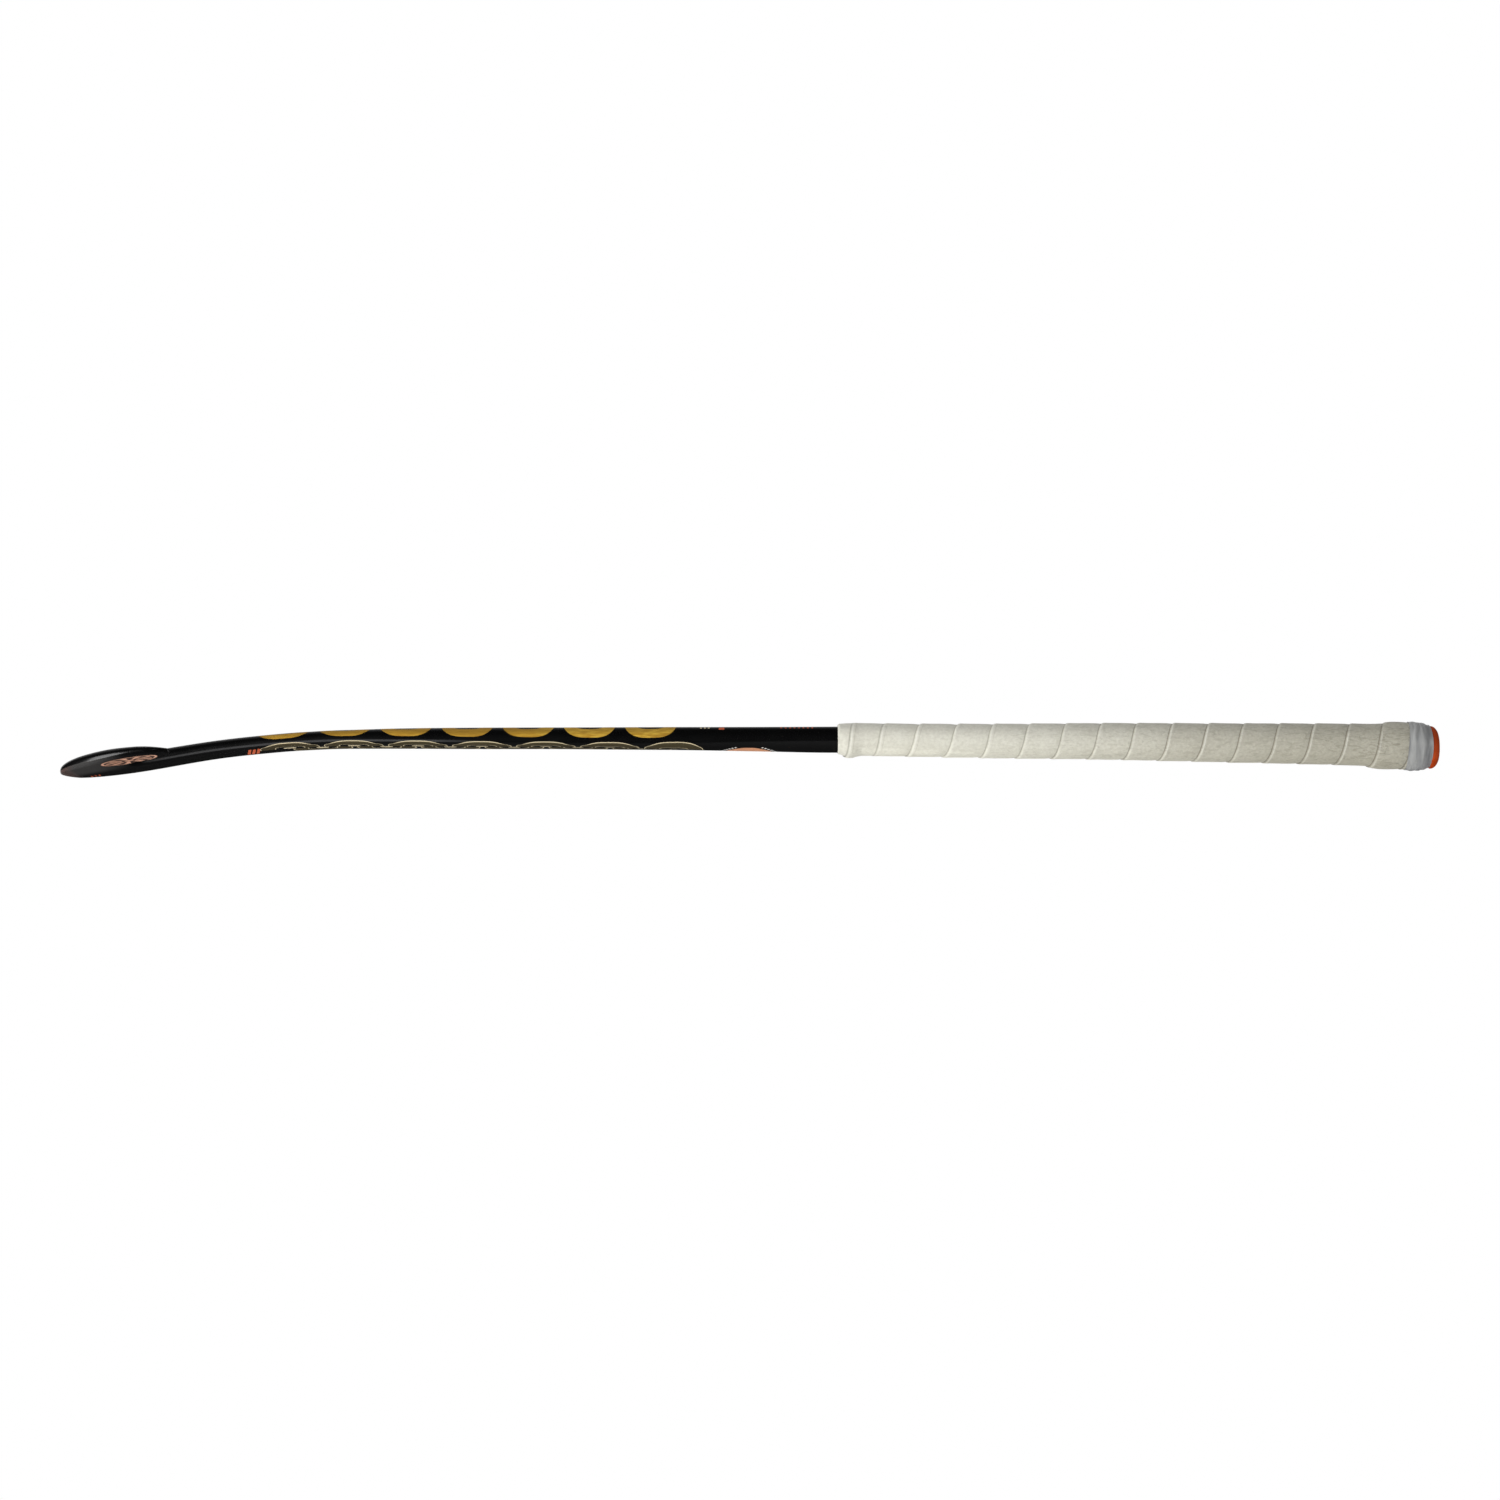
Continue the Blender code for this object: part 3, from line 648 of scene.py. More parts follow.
ROUNDEL_AT = (0.0492, -0.0605)
ROUNDEL_RADIUS = 0.0185
ROUNDEL_RIM = 0.0016
RAYS = 9
RAYS_FROM = 0.0052
RAYS_TO = 0.0152
CORE_EDGE = (0.5 * RAYS_FROM, 0.6 * RAYS_FROM)

# Part of its sector that a dash or a ray fills, and how soft its sides are
DASH_FILL = (0.20, 0.75, 0.06)
RAY_FILL = (0.30, 0.70, 0.05)

# Where the back and the face begin and end, as distances from the edge line
BACK_BEGINS = (0.0, 0.0002)
FACE_ENDS = (-0.0006, -0.0002)

# Rows of small marks: where the row starts and ends, its two sides, and the pitch and width of a mark
SPLICE_MARKS = (0.1220, 0.1308, -0.0140, 0.0150, 0.0030, 0.0020)
BACK_MARKS = (0.4819, 0.5056, -0.0104, -0.0076, 0.0030, 0.0012)
BACK_BLOCK = (0.4405, 0.4447, -0.0130, -0.0080, 0.0042, 0.0036)
HEEL_MARKS = (0.0165, 0.0230, -0.0080, 0.0000, 0.0026, 0.0011)
GOLD_MARKS = (0.4278, 0.4345, -0.0112, -0.0080, 0.0026, 0.0013)
MARK_INSET = 0.0002
MARK_SLANT = 0.12

# Painted light and browning on the lacquer: where each fades in or out, along the stick, beside it or from
# its edge
# Painted reflection on the face near the heel: where it fades along the stick and beside it
HEEL_REFLECTION_FADES_ALONG = (0.022, 0.050)
HEEL_REFLECTION_FADES_BESIDE = (-0.036, -0.012)
BROWN_FADES = (0.003, 0.014)
# Painted highlight along the edge line: its band from the edge, its softness, and where it starts and ends
RIDGE_HIGHLIGHT_BAND = (-0.0022, -0.0008)
RIDGE_HIGHLIGHT_SOFT = 0.0005
RIDGE_HIGHLIGHT_FROM = (0.040, 0.075)
RIDGE_HIGHLIGHT_TO = (0.240, 0.290)
MATT_FACE_EDGE = (-0.0035, -0.0015)

# Patterns of the lacquer. A pattern is its lumps to the metre, its detail and, unless it is plain,
# its roughness. A stretch is the lumps to the metre along, across and up, and a turn.
CLOUD = (55.0, 3.0)
SPECKS = (900.0, 2.0)
WAVES = (70.0, 2.0)
BRUSHING = (1.0, 3.0, 0.6)
BRUSHING_STRETCH = ((130.0, 2100.0, 900.0), 0.42)
BROAD_BRUSHING = (1.0, 2.0, 0.5)
BROAD_BRUSHING_STRETCH = ((18.0, 150.0, 90.0), 0.3)

# How the patterns show: where in them a change starts and where it is full, and, unless it goes from
# 0 to 1, its strength at each. The brushing gets clearer along the stick.
HEEL_SHOWS = (*NOISE_SPREAD, 0.75, 1.0)
SPECKS_SHOW = (0.55, 0.75)
BRUSHING_SHOWS = (0.33, 0.67)
BRUSHING_CLEARS_ALONG = (0.310, 0.330, 0.35, 1.0)
BROWN_GOLD_SHOWS = (0.35, 0.70, 0.0, 0.5)

# Gloss and relief of the lacquer and its inks. A relief is its strength and its height.
POLISH = (*NOISE_SPREAD, 0.24, 0.30)
SPECK_ROUGHNESS = 0.05
MATT = 0.80
INK_ROUGHNESS = 0.42
GOLD_METALLIC = 0.15
WAVE_RELIEF = (0.35, 0.00006)
INK_RELIEF = (0.25, 0.00003)

# Colours of the lacquer and its prints
BLACK = (0.0014, 0.0014, 0.0015)
# Painted highlight: a lighter line on the face side of the edge line, where the ridge catches light
RIDGE_HIGHLIGHT_GREY = (0.042, 0.042, 0.043)
# Painted reflection: grey on the matt face in the bend of the hook, where it mirrors light from below
HEEL_REFLECTION_GREY = (0.034, 0.033, 0.032)
HEEL_BROWN = (0.062, 0.038, 0.033)
DEEP_GOLD = (0.46, 0.24, 0.019)
BRIGHT_GOLD = (0.80, 0.52, 0.065)
BROWN_GOLD = (0.26, 0.135, 0.012)
PALE_GOLD = (0.66, 0.56, 0.36)
DARK_FILL = (0.034, 0.026, 0.011)
PALE_FILL = (0.048, 0.038, 0.018)
COPPER = (0.62, 0.30, 0.17)
PALE_COPPER = (0.80, 0.46, 0.32)
DARK_COPPER = (0.040, 0.020, 0.015)
ORANGE = (0.60, 0.12, 0.045)
WHITE_INK = (0.80, 0.78, 0.74)


class Lacquer(Finish):
    """Black gloss lacquer over the laminate, matt on the playing face, with a browned heel, painted light
    and prints.

    Each print is laid over what is there and gives back its mask.
    """

    def __init__(self):
        super().__init__("black_lacquer", BLACK, roughness=0.3, specular=0.45)
        self.along, self.across, self.from_edge = self.attribute("print_place")
        place = self.parts(self.object_place())
        self.from_heel = self.less(place[0], ORIGIN.x)
        self.beside = self.less(place[1], ORIGIN.y)
        self.on_back = self.rise(self.from_edge, *BACK_BEGINS)
        self.on_face = self.fall(self.from_edge, *FACE_ENDS)
        self.cloud = self.grain(*CLOUD)

    def wear_and_painted_light(self):
        """A painted reflection on the face in the bend of the hook, a browned heel and a painted highlight
        along the edge line.
        """
        # Painted reflection on the face near the heel
        reflection_along = self.fall(self.from_heel, *HEEL_REFLECTION_FADES_ALONG)
        reflection_beside = self.fall(self.beside, *HEEL_REFLECTION_FADES_BESIDE)
        self.lay(self.all_of(reflection_along, self.on_face, reflection_beside), HEEL_REFLECTION_GREY)
        heel = self.all_of(self.fall(self.from_heel, *BROWN_FADES), self.on_face)
        self.lay(self.times(heel, self.rise(self.cloud, *HEEL_SHOWS)), HEEL_BROWN)
        # Painted highlight along the edge line
        edge_highlight = self.between(self.from_edge, *RIDGE_HIGHLIGHT_BAND, RIDGE_HIGHLIGHT_SOFT)
        ends = self.all_of(self.rise(self.along, *RIDGE_HIGHLIGHT_FROM), self.fall(self.along, *RIDGE_HIGHLIGHT_TO))
        self.lay(self.all_of(edge_highlight, ends), RIDGE_HIGHLIGHT_GREY)

    def scales(self, inwards, start, pitch, depth):
        """Distance from the centre of the nearest scale, measured so that a scale is a squarish
        round, and 1 where there are scales. The far row lies half a pitch further on and has one
        less."""
        far_row = self.rise(self.across, -MIDDLE_STEP, MIDDLE_STEP, 0.0, 0.5)
        steps = self.times(self.less(self.along, start), 1 / pitch)
        place = self.past_whole(self.less(steps, far_row))
        sideways = self.size(self.times(self.less(place, 0.5), pitch))
        deep = self.size(self.less(inwards, depth))
        powers = [self.math("POWER", reach, SCALE_SQUARENESS) for reach in (sideways, deep)]
        radius = self.math("POWER", self.add(*powers), 1 / SCALE_SQUARENESS)
        row_end = SCALE_COUNT / 2
        from_middle = self.add(self.size(self.less(steps, row_end)), far_row)
        in_row = self.fall(from_middle, row_end - ROW_END_SOFT, row_end + ROW_END_SOFT)
        clear = self.rise(self.size(self.across), MIDDLE_GAP, MIDDLE_GAP_EDGE)
        return radius, self.all_of(in_row, clear)

    def gold_scales(self):
        """Full scales on the back, brushed brighter towards the grip."""
        radius, in_row = self.scales(self.from_edge, BACK_SCALE_START, BACK_SCALE_PITCH, BACK_SCALE_DEPTH)
        rounds = self.between(radius, BACK_SCALE_HOLE, BACK_SCALE_RADIUS)
        mask = self.all_of(self.any_of(rounds, self.inside(radius, SCALE_EYE)), in_row, self.on_back)
        brushed = self.grain(*BRUSHING, self.stretched(*BRUSHING_STRETCH))
        broad = self.grain(*BROAD_BRUSHING, self.stretched(*BROAD_BRUSHING_STRETCH))
        clearer = self.rise(self.along, *BRUSHING_CLEARS_ALONG)
        gold = self.mix(self.times(self.rise(brushed, *BRUSHING_SHOWS), clearer), DEEP_GOLD, BRIGHT_GOLD)
        self.lay(mask, self.mix(self.rise(broad, *BROWN_GOLD_SHOWS), gold, BROWN_GOLD))
        return mask

    def outlined_scales(self):
        """Scales in thin outline on the face, with a dark fill."""
        inwards = self.times(self.from_edge, -1.0)
        radius, in_row = self.scales(inwards, FACE_SCALE_START, FACE_SCALE_PITCH, FACE_SCALE_DEPTH)
        in_row = self.all_of(in_row, self.on_face)
        outer_line = self.between(radius, FACE_SCALE_RADIUS - FACE_LINE, FACE_SCALE_RADIUS)
        inner_line = self.between(radius, FACE_SCALE_HOLE, FACE_SCALE_HOLE + FACE_LINE)
        eyes = self.inside(radius, SCALE_EYE)
        mask = self.all_of(self.any_of(outer_line, inner_line, eyes), in_row)
        filled = self.all_of(self.between(radius, FACE_SCALE_HOLE, FACE_SCALE_RADIUS), in_row)
        self.lay(filled, self.mix(self.cloud, DARK_FILL, PALE_FILL))
        self.lay(mask, PALE_GOLD)
        return mask

    def ticks(self, side, along, across, marks):
        """A short row of small marks on one side of the stick."""
        start, end, low, high, pitch, width = marks
        place = self.times(self.past_whole(self.times(self.less(along, start), 1 / pitch)), pitch)
        row = self.all_of(self.between(along, start, end), self.between(across, low, high))
        return self.all_of(row, self.between(place, MARK_INSET, MARK_INSET + width), side)

    def small_marks(self):
        slanted = self.add(self.along, self.times(self.across, MARK_SLANT))
        orange = self.any_of(
            self.ticks(self.on_face, slanted, self.across, SPLICE_MARKS),
            self.ticks(self.on_back, self.along, self.across, BACK_MARKS),
            self.ticks(self.on_back, self.along, self.across, BACK_BLOCK),
            self.ticks(self.on_face, self.from_heel, self.beside, HEEL_MARKS),
        )
        self.lay(orange, ORANGE)
        self.lay(self.ticks(self.on_back, self.along, self.across, GOLD_MARKS), PALE_GOLD)
        return orange

    def around(self, along, across, centre, count):
        """Distance east of a centre, distance from it, and how far through one of a count of equal
        sectors."""
        east = self.less(along, centre[0])
        north = self.less(across, centre[1])
        turn = self.times(self.math("ARCTAN2", north, east), count / (2 * math.pi))
        return east, self.distance(east, north), self.past_whole(turn)

    def dashed_disc(self):
        """Copper disc with an arc of white dashes at its two ends."""
        east, radius, sector = self.around(self.along, self.across, DISC_AT, DASHES)
        mask = self.all_of(self.on_face, self.inside(radius, DISC_RADIUS))
        ring = self.between(radius, DASH_RING_RADIUS, DASH_RING_RADIUS + DASH_WIDTH)
        ends = self.rise(self.size(east), DASHES_FROM, DASHES_FROM + DASHES_SOFT)
        self.lay(mask, COPPER)
        self.lay(self.all_of(self.between(sector, *DASH_FILL), self.on_face, ring, ends), WHITE_INK)
        return mask

    def roundel(self):
        """Rayed copper roundel on the head."""
        _, radius, sector = self.around(self.from_heel, self.beside, ROUNDEL_AT, RAYS)
        rays = self.all_of(self.between(sector, *RAY_FILL), self.between(radius, RAYS_FROM, RAYS_TO))
        rim = self.between(radius, ROUNDEL_RADIUS - ROUNDEL_RIM, ROUNDEL_RADIUS)
        core = self.fall(radius, *CORE_EDGE)
        mask = self.all_of(self.inside(radius, ROUNDEL_RADIUS), self.on_face)
        self.lay(mask, self.mix(self.any_of(rays, core, rim), DARK_COPPER, PALE_COPPER))
        return mask


def lacquer_with_prints():
    finish = Lacquer()
    finish.wear_and_painted_light()
    gold = finish.gold_scales()
    ink = finish.any_of(
        gold, finish.outlined_scales(), finish.small_marks(), finish.dashed_disc(), finish.roundel()
    )
    finish.set("Metallic", finish.times(gold, GOLD_METALLIC))
    specks = finish.times(finish.rise(finish.grain(*SPECKS), *SPECKS_SHOW), SPECK_ROUGHNESS)
    polish = finish.add(finish.rise(finish.cloud, *POLISH), specks)
    bare = finish.mix(finish.fall(finish.from_edge, *MATT_FACE_EDGE), polish, MATT, "Float")
    roughness = finish.mix(ink, bare, INK_ROUGHNESS, "Float")
    waves = finish.bump(finish.grain(*WAVES), *WAVE_RELIEF)
    return finish.finished(roughness, finish.bump(ink, *INK_RELIEF, waves))


# Colours of the grip
CHAMOIS = (0.68, 0.66, 0.58)
CHAMOIS_DARK = (0.64, 0.625, 0.545)
CHAMOIS_LIGHT = (0.73, 0.72, 0.635)
CHAMOIS_SHADE = (0.60, 0.58, 0.49)
# Soiling towards the butt, darkened further as painted shade where less light reaches the grip
SOILED_SHADED_DARK = (0.405, 0.385, 0.312)
SOILED_SHADED_LIGHT = (0.47, 0.45, 0.372)
# Painted shade in the creases
PAINTED_CREASE_SHADE = (0.31, 0.29, 0.23)
# Painted highlight along the leading edge of each turn
LAP_EDGE_HIGHLIGHT = (0.86, 0.85, 0.78)
# Painted shadow a little behind each leading edge
HEM_SHADOW = (0.40, 0.38, 0.31)
# Painted shadow at the laps
LAP_SHADOW = (0.22, 0.20, 0.155)
NAP_SHADE = (0.50, 0.48, 0.41)

# Painted lines along the strip, a highlight and a shadow: where each starts and ends from the leading
# edge, and its softness
LAP_EDGE_HIGHLIGHT_LINE = (0.0008, 0.0018, 0.0004)
HEM_SHADOW_LINE = (0.0030, 0.0034, 0.0003)

# Patterns of the grip and how they show, as for the lacquer
MOTTLE = (480.0, 5.0, 0.65)
PATCHES = (30.0, 3.0, 0.5)
NAP = (1700.0, 3.0, 0.65)
CREASES = (1.0, 4.0, 0.6)
CREASE_STRETCH = ((130.0, 300.0, 420.0), 0.6)
CREASE_DISTORTION = 1.4
MOTTLE_SHOWS = (0.32, 0.70)
SOIL_AND_SHADE_SHOWS = (0.35, 0.65)
SHADE_SHOWS = (0.42, 0.72, 0.0, 0.16)
CREASE_SHADE_SHOWS = (0.48, 0.66, 0.0, 0.5)
LAP_EDGE_HIGHLIGHT_SHOWS = (0.35, 0.65, 0.10, 0.45)
HEM_SHADOW_SHOWS = (0.42, 0.58, 0.0, 0.4)
NAP_SHOWS = (0.5, 0.8)
NAP_STRENGTH = 0.18

# The same for changes along the grip, from its head end: soiling with painted shade, creasing, and the
# painted shadow at the laps
SOILED_AND_SHADED_ALONG = (0.12, 0.40, 0.0, 0.88)
SOILED_AND_SHADED_PATCHINESS = 0.10
CREASED_ALONG = (0.02, 0.30, 0.2, 0.8)
CREASED_MORE_ALONG = (0.28, 0.38, 0.0, 0.6)
LAP_SHADOW_ALONG = (0.03, 0.30, 0.42, 0.82)

# The same for the painted shadow at a lap, beside the next turn's edge and on the strip's own
LAP_SHADOW_TO_NEXT = (0.0002, 0.0009)
LAP_SHADOW_FROM_LEAD = (0.0001, 0.0006, 0.7, 0.0)

# Gloss and relief of the grip
CHAMOIS_ROUGHNESS = (*NOISE_SPREAD, 0.78, 0.92)
LEAST_CREASING = 0.4
CREASE_RELIEF = (0.6, 0.0010)
NAP_RELIEF = (0.35, 0.00012)


def chamois():
    """Pale suede-like strip: mottled, with a short nap, a painted highlight along the edge that laps over
    the turn before, painted shadow beside each lap and a little behind its edge, painted shade in the
    creases, and greyer and more creased towards the butt, where it is soiled and painted darker as shade."""
    finish = Finish("chamois", CHAMOIS, roughness=0.85, specular=0.2, sheen=0.2)
    length, from_lead, to_next = finish.attribute("strip_place")
    mottle = finish.grain(*MOTTLE)
    patches = finish.grain(*PATCHES)
    nap = finish.grain(*NAP)
    creases = finish.grain(*CREASES, finish.stretched(*CREASE_STRETCH), CREASE_DISTORTION)
    finish.vary(mottle, *MOTTLE_SHOWS, CHAMOIS_DARK, CHAMOIS_LIGHT)
    finish.lay(finish.rise(patches, *SHADE_SHOWS), CHAMOIS_SHADE)
    # Greyer towards the butt: partly soiling, partly painted shade of the light falling off along the grip
    soiled_and_shaded = finish.rise(finish.add(finish.times(patches, SOILED_AND_SHADED_PATCHINESS), length), *SOILED_AND_SHADED_ALONG)
    finish.lay(soiled_and_shaded, finish.mix(finish.rise(mottle, *SOIL_AND_SHADE_SHOWS), SOILED_SHADED_DARK, SOILED_SHADED_LIGHT))
    towards_butt = finish.add(
        finish.rise(length, *CREASED_ALONG), finish.rise(length, *CREASED_MORE_ALONG)
    )
    # Painted shade in the creases, more towards the butt
    finish.lay(finish.times(finish.rise(creases, *CREASE_SHADE_SHOWS), towards_butt), PAINTED_CREASE_SHADE)
    # Painted highlight on the edge that laps over the turn before
    edge_highlight = finish.between(from_lead, *LAP_EDGE_HIGHLIGHT_LINE)
    finish.lay(finish.times(edge_highlight, finish.rise(patches, *LAP_EDGE_HIGHLIGHT_SHOWS)), LAP_EDGE_HIGHLIGHT)
    # Painted shadow line where the strip's thin border creases, a little behind its edge
    hem_shadow = finish.between(from_lead, *HEM_SHADOW_LINE)
    finish.lay(finish.times(hem_shadow, finish.rise(patches, *HEM_SHADOW_SHOWS)), HEM_SHADOW)
    # Painted shadow where each turn meets the next, on both sides of the seam
    lap_shadow = finish.any_of(finish.fall(to_next, *LAP_SHADOW_TO_NEXT), finish.rise(from_lead, *LAP_SHADOW_FROM_LEAD))
    finish.lay(finish.times(lap_shadow, finish.rise(length, *LAP_SHADOW_ALONG)), LAP_SHADOW)
    finish.lay(finish.times(finish.rise(nap, *NAP_SHOWS), NAP_STRENGTH), NAP_SHADE)
    soft = finish.bump(finish.times(creases, finish.add(towards_butt, LEAST_CREASING)), *CREASE_RELIEF)
    relief = finish.bump(nap, *NAP_RELIEF, soft)
    return finish.finished(finish.rise(mottle, *CHAMOIS_ROUGHNESS), relief)


# Colours of the tape, the cap, the foam and the bare laminate
VINYL = (0.30, 0.30, 0.30)
# Painted shade in the folds and painted highlight on their crests
VINYL_SHADED_FOLD = (0.215, 0.220, 0.228)
VINYL_LIT_CREST = (0.385, 0.39, 0.385)
VINYL_SCUFF = (0.44, 0.44, 0.42)
CAP_ORANGE = (0.54, 0.068, 0.008)
CAP_DARK = (0.49, 0.058, 0.006)
CAP_LIGHT = (0.60, 0.080, 0.011)
FOAM = (0.62, 0.55, 0.36)
# Painted shade inside the open cells
FOAM_SHADED_CELL = (0.44, 0.37, 0.22)
FOAM_WALL = (0.66, 0.59, 0.40)
FOAM_AGED = (0.55, 0.45, 0.26)
LAMINATE = (0.03, 0.03, 0.032)
# The same black yarn, painted darker as shade where it lies under and lighter as sheen where it lies over
YARN_SHADED_UNDER = (0.014, 0.014, 0.015)
YARN_LIT_OVER = (0.050, 0.050, 0.054)

# Their patterns and how they show, as for the lacquer. The stretch of the folds has a tilt too.
VINYL_FOLDS = (1.0, 2.0, 0.5)
VINYL_FOLD_STRETCH = ((210.0, 30.0, 30.0), 0.15, 0.55)
VINYL_FOLD_DISTORTION = 0.6
VINYL_FOLDS_SHOW = (0.32, 0.68)
SCUFFS = (150.0, 3.0)
SCUFFS_SHOW = (0.45, 0.80, 0.0, 0.25)
CAP_CLOUD = (150.0, 3.0)
CAP_CLOUD_SHOWS = (0.35, 0.70)
CAP_GRAIN = (1500.0, 3.0)
CELLS_TO_METRE = 900.0
CELLS_SHOW = (0.1, 0.6)
FOAM_CLOUD = (80.0, 3.0)
AGED_SHOWS = (0.4, 0.7, 0.0, 0.4)
YARN_STRETCH = ((900.0, 900.0, 900.0), math.radians(45))
YARNS_CROSS = (-0.4, 0.4)

# Their gloss and relief
VINYL_ROUGHNESS = (*NOISE_SPREAD, 0.18, 0.30)
VINYL_RELIEF = (0.4, 0.0006)
CAP_ROUGHNESS = (*NOISE_SPREAD, 0.42, 0.56)
CAP_RELIEF = (0.2, 0.00008)
FOAM_ROUGHNESS = (*NOISE_SPREAD, 0.84, 0.95)
CELL_RELIEF = (0.5, 0.0004)
YARN_ROUGHNESS = (0.0, 1.0, 0.35, 0.55)
YARN_RELIEF = (0.4, 0.0001)


def grey_vinyl():
    """Stretched vinyl tape: glossy, with soft folds that run round the handle, painted shade in the folds
    and painted highlight on their crests.
    """
    finish = Finish("grey_vinyl", VINYL, roughness=0.3, specular=0.5, sheen=0.3)
    drawn = finish.stretched(*VINYL_FOLD_STRETCH)
    folds = finish.grain(*VINYL_FOLDS, drawn, VINYL_FOLD_DISTORTION)
    # Painted shade and highlight that follow the folds
    finish.vary(folds, *VINYL_FOLDS_SHOW, VINYL_SHADED_FOLD, VINYL_LIT_CREST)
    finish.lay(finish.rise(finish.grain(*SCUFFS), *SCUFFS_SHOW), VINYL_SCUFF)
    return finish.finished(finish.rise(folds, *VINYL_ROUGHNESS), finish.bump(folds, *VINYL_RELIEF))


def orange_rubber():
    """Moulded rubber with a fine matt grain and lighter patches."""
    finish = Finish("orange_rubber", CAP_ORANGE, roughness=0.5, specular=0.2)
    cloud = finish.grain(*CAP_CLOUD)
    finish.vary(cloud, *CAP_CLOUD_SHOWS, CAP_DARK, CAP_LIGHT)
    fine = finish.grain(*CAP_GRAIN)
    return finish.finished(finish.rise(cloud, *CAP_ROUGHNESS), finish.bump(fine, *CAP_RELIEF))


def cell_foam():
    """Closed-cell foam, pale yellow, with open cells at its cut faces, painted darker inside as shade."""
    finish = Finish("cell_foam", FOAM, roughness=0.9, specular=0.2)
    cells = finish.cells(CELLS_TO_METRE)
    cloud = finish.grain(*FOAM_CLOUD)
    finish.vary(cells, *CELLS_SHOW, FOAM_SHADED_CELL, FOAM_WALL)
    finish.lay(finish.rise(cloud, *AGED_SHOWS), FOAM_AGED)
    return finish.finished(finish.rise(cloud, *FOAM_ROUGHNESS), finish.bump(cells, *CELL_RELIEF))


def woven_laminate():
    """Bare laminate: black yarns over and under each other in resin, those over painted lighter as sheen
    and those under painted darker as shade.
    """
    finish = Finish("woven_laminate", LAMINATE, roughness=0.45, specular=0.4)
    place = finish.parts(finish.stretched(*YARN_STRETCH))
    warp, weft = [finish.math("SINE", part) for part in place[:2]]
    over = finish.rise(finish.times(warp, weft), *YARNS_CROSS)
    finish.colour = finish.mix(over, YARN_SHADED_UNDER, YARN_LIT_OVER)
    return finish.finished(finish.rise(over, *YARN_ROUGHNESS), finish.bump(over, *YARN_RELIEF))


# Pieces
def head_stations(from_tip):
    """Stations from the toe and round the hook, with how far along each one is."""
    angles = [math.pi / 2 * (i + 1) / TIP_SEGMENTS for i in range(TIP_SEGMENTS)]
    steps = [from_tip] + [TOE_ROUNDING * (1 - math.cos(angle)) for angle in angles]
    steps = [step for step in steps if from_tip <= step < TOE_LENGTH - FIT_GAP]
    hook_length = math.pi * HOOK_RADIUS
    toe = [(HOOK_CENTRE - hook_length - TOE_LENGTH + step, toe_station(step)) for step in steps]
    turns = [1 - i / HOOK_STATIONS for i in range(HOOK_STATIONS)]
    hook = [(HOOK_CENTRE - hook_length * turn, hook_station(turn)) for turn in turns]
    return toe + hook


def shell_stations(from_tip):
    places = every(HOOK_CENTRE, GRIP_START, SHAFT_STEP)
    places += every(SLEEVE_START, FLARE_START, 2 * SHAFT_STEP)
    places += every(FLARE_START, SHELL_END, 2 * SHAFT_STEP)[1:]
    return head_stations(from_tip) + [(x, shaft_station(x)) for x in places]


def print_places(along, ring):
    """For each point of a shell section: how far along it is, its distance from the middle of its
    side, and its distance from the edge line, which is negative on the face side."""
    places = [None] * RING_POINTS
    for middle, reach, side in ((3 * QUARTER, QUARTER, 1), (QUARTER, QUARTER - 1, -1)):
        for step in (1, -1):
            runs = [0.0]
            for k in range(QUARTER):
                here = ring[(middle + step * k) % RING_POINTS]
                beyond = ring[(middle + step * (k + 1)) % RING_POINTS]
                runs.append(runs[-1] + (beyond - here).length)
            for k in range(reach + 1):
                index = (middle + step * k) % RING_POINTS
                places[index] = Vector((along, step * side * runs[k], side * (runs[-1] - runs[k])))
    return places


def make_shell():
    """Laminate shell, hollow and open at the butt, cut flat where the heel rests."""
    outer = []
    marks = []
    for along, station in shell_stations(0.0):
        ring = section(station)
        outer.append(ring)
        marks.append(print_places(along, ring))
    cavity = [section(station, SHELL_WALL) for _, station in shell_stations(TOE_LENGTH - CAVITY_INTO_TOE)]
    bm = loft(outer + cavity[::-1], mark="print_place", marks=marks)
    ground = {"plane_co": (0.0, 0.0, 0.0), "plane_no": (0.0, 0.0, -1.0)}
    everything = bm.verts[:] + bm.edges[:] + bm.faces[:]
    cut = bmesh.ops.bisect_plane(bm, geom=everything, clear_outer=True, **ground)
    rim = [item for item in cut["geom_cut"] if isinstance(item, bmesh.types.BMEdge)]
    bmesh.ops.contextual_create(bm, geom=rim)
    bmesh.ops.recalc_face_normals(bm, faces=bm.faces)
    add_piece("lacquered_stick", bm, lacquer_with_prints(), "stick_shell")


def make_foam_layer(name, places, replaced):
    """Foam between the shell and the grip."""
    outer = [section(shaft_station(x, BODY_ROWS)) for x in places]
    inner = [section(shaft_station(x), -FIT_GAP) for x in places]
    add_piece(name, pipe(outer, inner), cell_foam(), replaced)


# Winding of the grip: by turn from the head end, how far the leading edge lies from an even pitch,
# and how much straighter than a plain helix it runs on the seen side
EDGE_SHIFT = 1
STRAIGHTENING = 2
WINDING_ROWS = [
    (0.0, 0.0, 0.0),
    (0.9, -0.0014, 0.0018),
    (1.5, -0.0037, 0.0016),
    (2.5, -0.0072, 0.0014),
    (3.5, -0.0072, 0.0009),
    (4.5, -0.0050, 0.0009),
    (7.5, -0.0022, 0.0008),
    (10.5, -0.0004, 0.0006),
    (13.5, 0.0011, 0.0002),
    (16.0, 0.0019, 0.0),
    (17.0, 0.0, 0.0),
]

# Lump of the folded end of the strip, under the first two turns
LUMP_FROM = 0.5218
LUMP_TO = 0.5362
LUMP_RAMP = 0.0055
LUMP_LOW = 0.0015
LUMP_HIGH = 0.0002

